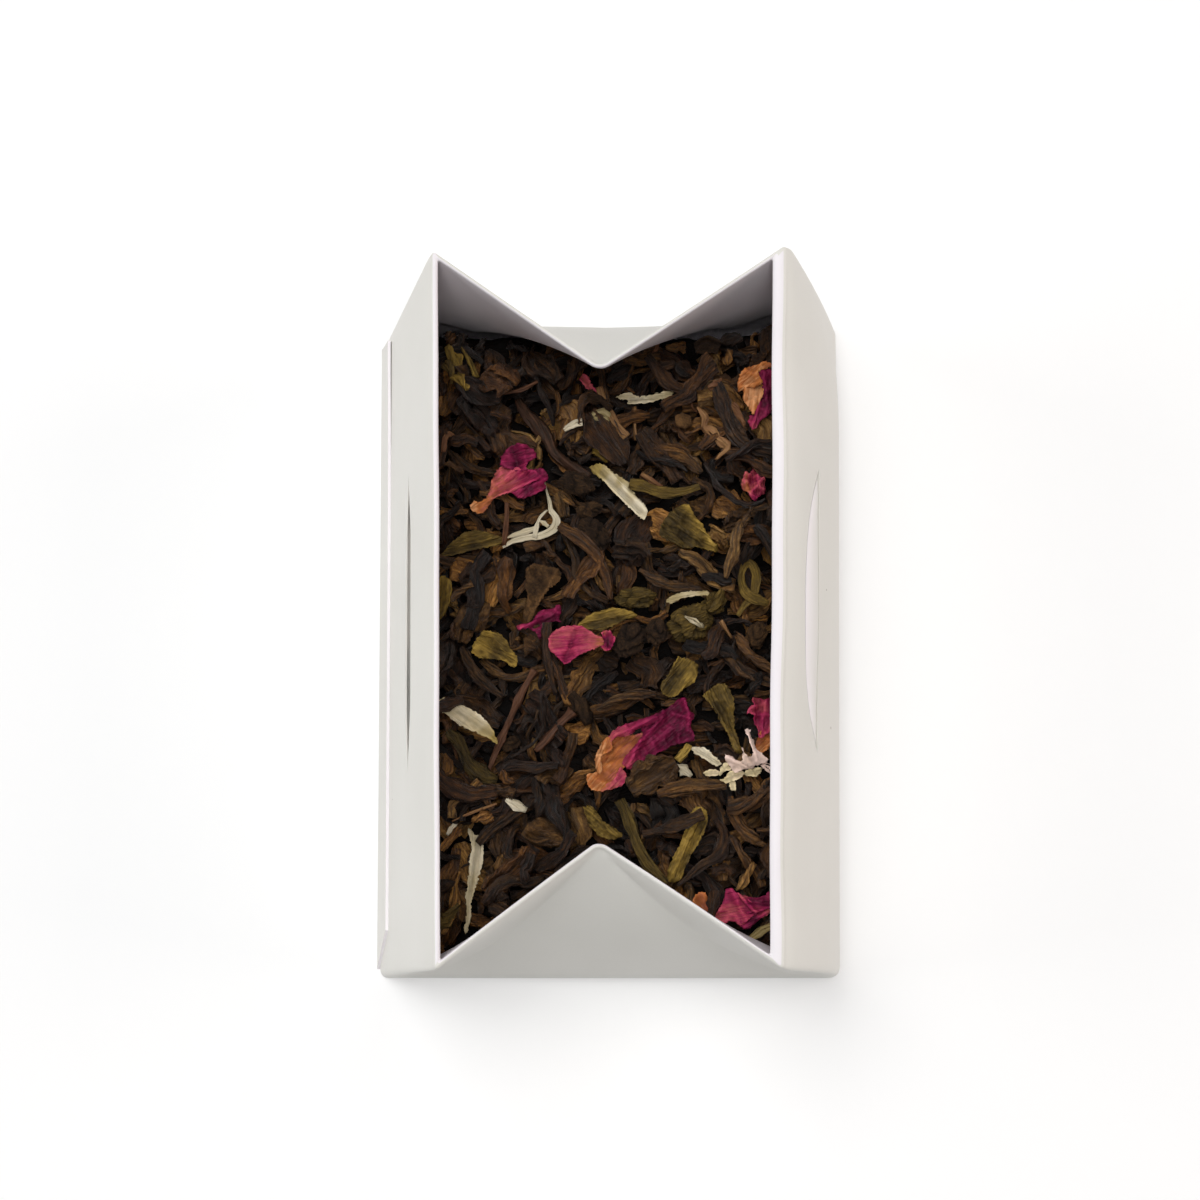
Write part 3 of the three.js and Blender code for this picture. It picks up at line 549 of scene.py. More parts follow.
def through(points, count):
    """Even points on a smooth line through the given ones."""
    points = np.asarray(points, float)
    if len(points) == 2:
        return points[0] + (points[1] - points[0]) * np.linspace(0, 1, count)[:, None]
    padded = np.concatenate([2 * points[:1] - points[1:2], points, 2 * points[-1:] - points[-2:-1]])
    line = []
    for p0, p1, p2, p3 in zip(padded, padded[1:], padded[2:], padded[3:]):
        t = np.linspace(0, 1, 12, endpoint=False)[:, None]
        line.append(0.5 * (2 * p1 + (p2 - p0) * t + (2 * p0 - 5 * p1 + 4 * p2 - p3) * t**2
                           + (3 * p1 - p0 - 3 * p2 + p3) * t**3))
    line = np.concatenate([*line, points[-1:]])
    run = run_along(line)
    return np.stack([np.interp(np.linspace(0, run[-1], count), run, line[:, k]) for k in range(3)], 1)


def leaf_form(path, widths, rng, flat=0.55, twist=2.0, ridge=0.22, ridges=4, wave=0.0, waves=2.0, cup=0.0,
              sides=14, start_turn=None):
    """A dry leaf along a path: an oval section with lengthwise ridges, waves across it and a twist.
    Returns places, faces, grain, half width and half height at each ring, and how far points lie in a fold,
    which callers turn into painted shade in grooves and painted highlight on ridges."""
    count = len(path)
    share = np.linspace(0, 1, count)
    run = run_along(path)
    half = np.interp(share, np.linspace(0, 1, len(widths)), widths) / 2
    half = half * (1 + 0.12 * np.sin(share * rng.uniform(9, 16) + rng.uniform(0, 6)) + rng.normal(0, 0.05, count))
    share, half = share[:, None], half[:, None]
    tangent = np.gradient(path, axis=0)
    tangent /= np.linalg.norm(tangent, axis=1, keepdims=True)
    side = np.cross([0, 0, 1.0], tangent)
    side /= np.maximum(np.linalg.norm(side, axis=1, keepdims=True), 1e-6)
    up = np.cross(tangent, side)
    theta = np.linspace(0, 2 * math.pi, sides, endpoint=False)[None, :]
    drift = rng.uniform(-1.5, 1.5) * share
    groove = np.abs(np.sin(ridges * theta / 2 + rng.uniform(0, 6) + drift + 0.5 * np.sin(7 * share)))
    fine = np.sin(9 * theta + 2.5 * drift + rng.uniform(0, 6))
    fine = fine + np.sin(13 * share * rng.uniform(1, 2) + 2 * theta)
    swell = 1 - ridge * (1 - groove) ** 1.5 * 1.6 + 0.16 * ridge * fine
    a = np.cos(theta) * half * swell
    b = np.sin(theta) * half * flat * swell
    phase = rng.uniform(0, 6)
    waved = np.sin(waves * math.pi * np.cos(theta) + phase + 2 * drift + 0.8 * np.sin(9 * share + phase))
    b = b + wave * half * waved
    # For painted shade and highlight: crest is low in grooves and high on ridges and on the raised side of waves.
    crest = 0.5 - (1 - groove) ** 1.5 * min(ridge / 0.3, 1.2)
    crest = crest + min(2 * wave, 0.7) * waved * np.sign(np.sin(theta)) * 0.7
    grain = np.stack([np.broadcast_to(run[:, None], a.shape), a, b], -1).reshape(-1, 3)
    if cup:
        radius = half / cup
        a, b = (radius - b) * np.sin(a / radius), radius - (radius - b) * np.cos(a / radius)
        b = b - b.mean(1, keepdims=True)
    turn = twist * (share - 0.5) + (rng.uniform(0, math.pi) if start_turn is None else start_turn)
    across, high = a * np.cos(turn) - b * np.sin(turn), a * np.sin(turn) + b * np.cos(turn)
    places = path[:, None] + across[..., None] * side[:, None] + high[..., None] * up[:, None]
    faces = tube_faces(count, sides)
    faces += [list(range(sides - 1, -1, -1)), list(range((count - 1) * sides, count * sides))]
    grain = grain + rng.uniform(-50, 50, 3)
    return places.reshape(-1, 3), faces, grain, np.abs(across).max(1), np.abs(high).max(1), crest.ravel()


class Heap:
    """The height reached so far over the tea's ground, and how high a leaf may still come there."""

    def __init__(self, ground):
        self.top = ground
        self.limit = np.full_like(ground, 99.0)
        self.shown = np.zeros_like(ground)

    def cells(self, x, y):
        i = np.clip(np.rint((y - GRID_Y[0]) / CELL).astype(int), 0, len(GRID_Y) - 1)
        j = np.clip(np.rint((x - GRID_X[0]) / CELL).astype(int), 0, len(GRID_X) - 1)
        return i, j

    def rest(self, path, wide, high, sink):
        """Tips and lowers a leaf onto what lies there. Returns its rise at any place across the heap, its
        footprint's places and cells, and its lower and upper side over them."""
        across = np.array([-0.85, -0.45, 0, 0.45, 0.85])
        tangent = np.gradient(path[:, :2], axis=0)
        tangent /= np.linalg.norm(tangent, axis=1, keepdims=True)
        side = np.stack([-tangent[:, 1], tangent[:, 0]], 1)
        foot = path[:, None, :2] + across[None, :, None] * wide[:, None, None] * side[:, None]
        round_over = high[:, None] * np.sqrt(1 - across**2)[None]
        cells = self.cells(foot[..., 0], foot[..., 1])
        ground = self.top[cells]
        centre = path[:, :2].mean(0)
        spread = foot.reshape(-1, 2) - centre
        fit = np.linalg.lstsq(np.c_[spread, np.ones(len(spread))], ground.ravel(), rcond=None)[0]
        slope = np.clip(fit[:2], -STEEPEST, STEEPEST)
        plane = ((foot - centre) @ slope) + path[:, None, 2]
        height = np.quantile(ground - plane + round_over, sink)
        return lambda places: (places[:, :2] - centre) @ slope + height, foot, cells, plane + height + round_over

    def settle(self, places, path, wide, high, sink=0.85):
        """Puts a leaf down if it stays inside the card and under the limit, and raises the heap there."""
        rise, foot, (i, j), top = self.rest(path, wide, high, sink)
        if room_left(foot[..., 0], foot[..., 1], top).min() < 0:
            return None
        if (top > self.limit[i, j]).mean() > 0.04 or self.shown[i, j].mean() > SHOWN_SHARE:
            return None
        for di in (0, 1):
            for dj in (0, 1):
                ii, jj = np.minimum(i + di, len(GRID_Y) - 1), np.minimum(j + dj, len(GRID_X) - 1)
                np.maximum.at(self.top, (ii, jj), top - 0.08)
        moved = places.copy()
        moved[:, 2] += rise(places)
        return moved


def random_leaf(rng, kind, x, y, turn, fine):
    """One leaf of the mass: a twisted strand, a crumpled flake, a hooked strand or a broken bit."""
    length, width = [{name: rng.uniform(*span) for name, span in spans.items()}[kind]
                     for spans in (LENGTHS, WIDTHS)]
    rings = RINGS[kind] * (2 if fine else 1) // 2
    bend = dict(strand=rng.normal(0, 0.45), flake=rng.normal(0, 0.4),
                hook=rng.choice([-1, 1]) * rng.uniform(1.3, 2.8), bit=rng.normal(0, 0.6))[kind]
    share = np.linspace(0, 1, rings)
    heading = turn + bend * (share - 0.5) + 0.25 * np.sin(share * 7 + rng.uniform(0, 6))
    heading = heading + rng.normal(0, 0.12, rings)
    heading += np.where(share > rng.uniform(0.2, 0.8), rng.normal(0, 0.35), 0)
    step = length / (rings - 1)
    path = np.zeros((rings, 3))
    path[1:, 0] = np.cumsum(np.cos(heading[:-1])) * step
    path[1:, 1] = np.cumsum(np.sin(heading[:-1])) * step
    path[:, 2] = 0.12 * width * np.sin(share * rng.uniform(4, 9) + rng.uniform(0, 6))
    path[:, :2] += np.array([x, y]) - path[:, :2].mean(0)
    tips = rng.uniform(0.3, 0.95, 2)
    widths = width * np.array([tips[0], *rng.uniform(0.65, 1.1, 4), tips[1]])
    if kind == "flake":
        shape = dict(flat=0.12, twist=rng.normal(0, 1.2), ridge=0.06, ridges=5, wave=rng.uniform(0.22, 0.5),
                     waves=rng.uniform(1.4, 3.2), cup=rng.uniform(0.0, 1.5), start_turn=rng.normal(0, 0.45),
                     sides=22 if fine else 12)
    else:
        shape = dict(flat=rng.uniform(0.4, 0.75), twist=rng.normal(0, 2.6), ridge=rng.uniform(0.28, 0.55),
                     ridges=int(rng.integers(3, 7)), wave=rng.uniform(0, 0.22), sides=18 if fine else 10)
    return path, *leaf_form(path, widths, rng, **shape)


def fill_heap(heap, piles, count, kinds, tries, aim, rng, fine=True):
    """Lays leaves of the given kinds and shares where the heap is lowest against its aim, turned every way
    and kept off the walls."""
    for number in range(count):
        best = None
        for _ in range(tries):
            x, y = rng.uniform(*HEAP_X), rng.uniform(*HEAP_Y)
            i, j = heap.cells(np.array([x]), np.array([y]))
            room = room_left(x, y, aim[i, j][0])
            if room < 0.6:
                continue
            low = (heap.top[i, j] - aim[i, j])[0]
            if best is None or low < best[0]:
                best = (low, x, y, room)
        if best is None or best[0] > 0.3:
            continue
        _, x, y, room = best
        kind = rng.choice(list(kinds), p=list(kinds.values()))
        turn = rng.uniform(0, math.pi)
        if room < 3 and abs(x) > 18:
            turn = math.pi / 2 + rng.normal(0, 0.3)
        path, places, faces, grain, wide, high, crest = random_leaf(rng, kind, x, y, turn, fine)
        moved = heap.settle(places, path, wide, high)
        if moved is not None:
            # The last value is painted shade in the leaf's grooves and painted highlight on its ridges.
            piles[number % len(piles)].add(moved, faces, grain, rng.beta(1.2, 2.1), 0.3 - 0.85 * crest)


# The grain runs along each leaf, from its own field: streaks, stains, wrinkles and one value for each leaf.
leaf_grain, group_in, group_out = new_group(
    "leaf_grain", ["Along", "Scale", "Wrinkle"], ["Streak", "Cloud", "Height", "Own"])
grain_field = add_node(leaf_grain, "Attribute", dict(attribute_name="grain"))
stretch = add_node(leaf_grain, "VectorMath", dict(operation="MULTIPLY"))
squeeze = add_node(leaf_grain, "CombineXYZ", Y=1, Z=1)
streak = add_node(leaf_grain, "TexNoise", Detail=6.0, Roughness=0.66, Distortion=0.8)
cloud = add_node(leaf_grain, "TexNoise", Scale=0.5, Detail=3.0, Roughness=0.55)
wrinkle = add_node(leaf_grain, "TexWave", dict(bands_direction="Y"), Scale=0.5, Distortion=16.0, Detail=4.0,
                   Detail_Scale=0.9, Detail_Roughness=0.65)
creased = add_node(leaf_grain, "Mix")
stained = add_node(leaf_grain, "Mix", Factor=0.5)
one_leaf = add_node(leaf_grain, "TexNoise", Scale=0.04, Detail=0.0)
apart = add_node(leaf_grain, "MapRange", From_Min=0.38, From_Max=0.62)
join(leaf_grain, (group_in, "Along", squeeze, "X"), (grain_field, "Vector", stretch, 0),
     (squeeze, "Vector", stretch, 1), (stretch, "Vector", streak, "Vector"),
        (stretch, "Vector", wrinkle, "Vector"),
     (group_in, "Scale", streak, "Scale"), (group_in, "Wrinkle", creased, "Factor"), (streak, "Fac", creased, "A"),
     (wrinkle, "Fac", creased, "B"), (grain_field, "Vector", cloud, "Vector"), (streak, "Fac", stained, "A"),
     (creased, "Result", stained, "B"), (stained, "Result", group_out, "Streak"),
        (cloud, "Fac", group_out, "Cloud"),
     (creased, "Result", group_out, "Height"), (grain_field, "Vector", one_leaf, "Vector"),
     (one_leaf, "Fac", apart, "Value"), (apart, "Result", group_out, "Own"))


def plant_finish(name, stops, along, scale, streak=0.35, cloud=0.35, bump=1.0, relief=0.00018,
                 roughness=(0.5, 0.8), specular=0.25, wrinkle=0.5, hues=((1, 1, 1), (1, 1, 1))):
    """A dried plant skin: tone and hue from leaf to leaf, streaks along the grain, clouds, painted shade in
    folds and painted highlight on crests, and fine relief."""
    material, tree, shader = new_finish(name, specular)
    grain = add_node(tree, "Group", dict(node_tree=leaf_grain), Along=along, Scale=scale, Wrinkle=wrinkle)
    value = add_node(tree, "Attribute", dict(attribute_name="tone")), "Fac"
    for source, amount in (("Streak", streak), ("Cloud", cloud)):
        centred = add_node(tree, "Math", dict(operation="SUBTRACT"), _1=0.5)
        mixed = add_node(tree, "Math", dict(operation="MULTIPLY_ADD"), _1=amount * 2)
        join(tree, (grain, source, centred, 0), (centred, "Value", mixed, 0), (*value, mixed, 2))
        value = mixed, "Value"
    # Painted shade and highlight: the colour is scaled down where the fold value puts a point deep in a fold or
    # groove, and up on crests and edges.
    fold_shade = add_node(tree, "Attribute", dict(attribute_name="fold"))
    light = add_node(tree, "MapRange", From_Min=-0.5, From_Max=0.75, To_Min=1.5, To_Max=0.25)
    lit = add_node(tree, "VectorMath", dict(operation="SCALE"))
    own = add_node(tree, "Mix", dict(data_type="VECTOR"), A=hues[0], B=hues[1])
    tinted = add_node(tree, "VectorMath", dict(operation="MULTIPLY"))
    ramp = shades(tree, stops)
    rough = add_node(tree, "MapRange", To_Min=roughness[0], To_Max=roughness[1])
    raised = add_node(tree, "Bump", Strength=bump, Distance=relief)
    join(tree, (*value, ramp, "Fac"), (grain, "Own", own, "Factor"), (ramp, "Color", tinted, 0),
         (own, "Result", tinted, 1), (fold_shade, "Fac", light, "Value"), (tinted, "Vector", lit, 0),
         (light, "Result", lit, "Scale"), (lit, "Vector", shader, "Base Color"), (grain, "Streak", rough, "Value"),
         (rough, "Result", shader, "Roughness"), (grain, "Height", raised, "Height"),
         (raised, "Normal", shader, "Normal"))
    return material


black_tea = plant_finish("black_tea", [
    (0.0, (17, 8, 2)), (0.25, (46, 27, 10)), (0.5, (84, 56, 25)), (0.75, (130, 94, 50)), (1.0, (186, 142, 82)),
], along=0.3, scale=4.4, streak=0.5, cloud=0.34, relief=0.0007, specular=0.55, wrinkle=0.3,
    roughness=(0.36, 0.6), hues=((1.14, 0.95, 0.7), (1.0, 1.0, 0.92)))
# Painted shade: the floor of fine tea is near black, darker than any leaf, to stand for the shade deep in the
# heap.
tea_dust_and_shade = plant_finish("tea_dust_and_shade", [(0.3, (8, 5, 3)), (0.7, (26, 17, 10))], along=1, scale=1.2, bump=0.6,
                        specular=0.1)

surface = tea_height(*np.meshgrid(GRID_X, GRID_Y))
aim = surface + 0.5
heap = Heap(surface - HEAP_START)
bed_places = []
for row in range(BED_ROWS):
    for column in range(BED_COLUMNS):
        y = (row / (BED_ROWS - 1) - 0.5) * BED_LENGTH
        x = (column / (BED_COLUMNS - 1) - 0.5) * BED_WIDTH
        z = float(tea_height(x, y)) - BED_DEPTH
        for _ in range(30):
            if room_left(x, y, z) > 0.05:
                break
            x, y = x * 0.985, y * 0.985
        bed_places.append((x, y, z + chance.uniform(-0.4, 0.4)))
bed_places = np.array(bed_places)
tea_bed = add_mesh("tea_bed", bed_places, quads(np.arange(len(bed_places)).reshape(BED_ROWS, BED_COLUMNS)),
                   [tea_dust_and_shade], {"grain": bed_places, "tone": np.full(len(bed_places), 0.4)})
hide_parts("loose_tea")


# --- Rose petals --------------------------------------------------------------------------------------
# Dried rose petals: thin crumpled sheets, magenta with a peach or orange foot, their edges rolled and
# ragged. Outlines, tones and folds are places in the 1200 x 1200 photograph, brought to the tea's level.

PHOTO_SCALE, PHOTO_MIDDLE, CAMERA_OVER = 6.915, (600.0, 1041.0), (-1.4, -58.5)
LEAST_MOVE = 1.6
THIN, WIDE = 5, 1
shown_pieces = []


def on_tea(points):
    """Places on the tea, in millimetres, of places in the photograph."""
    points = np.asarray(points, float)
    return np.stack([(points[..., 0] - PHOTO_MIDDLE[0]) / PHOTO_SCALE + CAMERA_OVER[0],
                     (PHOTO_MIDDLE[1] - points[..., 1]) / PHOTO_SCALE + CAMERA_OVER[1]], -1)


def photo_path(line):
    """A line of places in the photograph, some with a height after them, as points in millimetres."""
    return np.c_[on_tea([point[:2] for point in line]), [point[2] if len(point) > 2 else 0 for point in line]]


def keep_near(node, own):
    """The shift that keeps what has its middle at `own` by its CAD node, and the node's middle and foot."""
    low, high = [np.array(corner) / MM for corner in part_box(node)]
    centre = (low + high)[:2] / 2
    off = centre - own
    return off * max(0, 1 - LEAST_MOVE / max(np.linalg.norm(off), 1e-6)), centre, low[2]


def seat(node, outline):
    """The shift that keeps a piece at its CAD node, the node's lowest height and the heap's slope there."""
    shift, (x, y), low = keep_near(node, (outline.min(0) + outline.max(0)) / 2)
    slope = np.array([tea_height(x + 4, y) - tea_height(x - 4, y),
        tea_height(x, y + 4) - tea_height(x, y - 4)]) / 8
    return shift, low, np.clip(slope, -0.2, 0.2)


def show(pile, name, material, slot, node, weight):
    """Builds a pile as a piece in view, and keeps its places so that the heap leaves it clear."""
    pile.build(name, material, slot, node)
    shown_pieces.append((np.concatenate(pile.places), weight))


def ridged(x, y, rng, scale):
    """Crumple marks: sharp folds that cross each other at random."""
    total = np.zeros_like(x)
    for octave in range(5):
        angle, phase = rng.uniform(0, math.pi), rng.uniform(0, 6)
        pull = scale * 1.5**octave
        bent = np.sin(pull * 0.6 * (x * math.sin(angle) - y * math.cos(angle)) + phase)
        fold = np.sin(pull * (x * math.cos(angle) + y * math.sin(angle)) + 1.2 * bent + phase)
        total += (1 - 2 * np.abs(fold) ** 0.7) / 1.5**octave
    return total / 2


def to_line(points, line):
    """Each point's distance to the nearest point of a line."""
    return np.array([np.linalg.norm(line - point, axis=1).min() for point in points])


def sheet_form(outline, rng, thickness=0.16, cup=0.3, arch=0.0, roll=0.3, ripple=0.15, scale=1.6, folds=(),
               tones=(), step=0.26, ragged=0.07):
    """A crumpled thin sheet on an outline: faces on both sides and a closed edge."""
    closed = np.c_[outline, np.zeros(len(outline))]
    closed = np.concatenate([closed, closed[:1]])
    line = through(closed, max(24, int(1.15 * run_along(closed)[-1] / step)))[:-1, :2]
    line = line + rng.normal(0, ragged, line.shape)
    low, high = line.min(0), line.max(0)
    gx, gy = np.meshgrid(np.arange(low[0], high[0], step), np.arange(low[1], high[1], step * 0.87))
    gx = gx + (np.arange(gx.shape[0]) % 2)[:, None] * step / 2
    grid = np.c_[gx.ravel(), gy.ravel()] + rng.normal(0, step * 0.08, (gx.size, 2))
    grid = grid[to_line(grid, line) > step * 0.6]
    points = [Vector(p) for p in np.concatenate([line, grid])]
    flat, _, triangles, *_ = delaunay_2d_cdt(points, [], [list(range(len(line)))], 1, 1e-6)
    flat = np.array([tuple(p) for p in flat])
    middle = line.mean(0)
    axis = np.linalg.svd(line - middle)[2][0]
    u, v = (flat - middle) @ axis, (flat - middle) @ np.array([-axis[1], axis[0]])
    half_u, half_v = np.abs(u).max(), np.abs(v).max()
    edge = to_line(flat, line)
    way = np.arctan2(v, u)
    lift = cup * (v / half_v) ** 2 + arch * (u / half_u) ** 2
    curls = 0.55 + 0.45 * np.sin(3 * way + rng.uniform(0, 6)) + 0.25 * np.sin(7 * way)
    lift += roll * np.exp(-((edge / 0.75) ** 2)) * curls
    lift += ripple * 1.3 * ridged(flat[:, 0], flat[:, 1], rng, scale * 0.6)
    lift += ripple * 0.35 * ridged(flat[:, 0], flat[:, 1], rng, scale * 1.7)
    lift += 0.02 * np.sin(v * 7 / (1 + 0.25 * u / half_u) + 1.5 * np.sin(u))
    for x0, y0, x1, y1, height, width in folds:
        start, end = on_tea([(x0, y0), (x1, y1)])
        along = end - start
        t = np.clip(((flat - start) @ along) / (along @ along), 0, 1)
        distance = np.linalg.norm(flat - start - t[:, None] * along, axis=1)
        lift += height * np.exp(-((distance / width) ** 1.4))
    tone = np.full(len(flat), 0.5)
    if tones:
        spots, values = on_tea([t[:2] for t in tones]), np.array([t[2] for t in tones])
        weight = 1 / (np.linalg.norm(flat[:, None] - spots[None], axis=2) ** 3 + 0.05)
        tone = (weight * values).sum(1) / weight.sum(1)
    lift *= 1.3
    ways = [(a, b) for face in triangles for a, b in zip(face, [*face[1:], face[0]])]
    starts, ends = np.array(ways).T
    level = lift.copy()
    for _ in range(6):
        total, near = level.copy(), np.ones(len(flat))
        np.add.at(total, starts, level[ends])
        np.add.at(near, starts, 1)
        level = total / near
    # Painted shade in the sheet's hollows and painted highlight on its crests and along its edge, from the
    # smoothed lift.
    fold = np.clip((level - lift) * 1.9, -0.3, 0.3) - 0.2 * np.exp(-((edge / 0.22) ** 2))
    count = len(flat)
    faces = [*triangles] + [tuple(i + count for i in reversed(f)) for f in triangles]
    used = set(ways)
    faces += [(b, a, a + count, b + count) for a, b in dict.fromkeys(ways) if (b, a) not in used]
    grain = np.c_[u, v, np.zeros(count)] + rng.uniform(-50, 50, 3)
    places = np.concatenate([np.c_[flat, lift + thickness / 2], np.c_[flat, lift - thickness / 2]])
    return places, faces, np.tile(grain, (2, 1)), np.tile(tone, 2), np.tile(fold, 2)


def show_sheets(node, material, slot, sheets, seed, sink=0.2):
    """Petals or leaves that lie in view, layer over layer, in their CAD node's place."""
    rng = np.random.default_rng(seed)
    lines = [on_tea(sheet["outline"]) for sheet in sheets]
    everything = np.concatenate(lines)
    shift, low, slope = seat(node, everything)
    middle = everything.mean(0)
    pile = Pile()
    for line, sheet in zip(lines, sheets):
        shape = {key: value for key, value in sheet.items() if key not in ("outline", "rise")}
        places, *rest = sheet_form(line, rng, **shape)
        places[:, 2] += (places[:, :2] - middle) @ slope + sheet.get("rise", 0)
        places[:, :2] += shift
        pile.add(places, *rest)
    drop = low + sink - np.quantile(np.concatenate(pile.places)[:, 2], 0.05)
    for places in pile.places:
        places[:, 2] += drop
    show(pile, "dried_" + node, material, slot, node, WIDE)


rose_skin = plant_finish("rose_skin", [
    (0.0, (220, 158, 108)), (0.12, (178, 104, 48)), (0.26, (166, 94, 64)), (0.4, (186, 82, 92)),
    (0.52, (162, 44, 82)), (0.66, (132, 26, 68)), (0.82, (96, 16, 50)), (1.0, (44, 6, 20)),
], along=0.16, scale=3.4, streak=0.2, cloud=0.12, relief=0.00032, roughness=(0.4, 0.65), wrinkle=0.3)

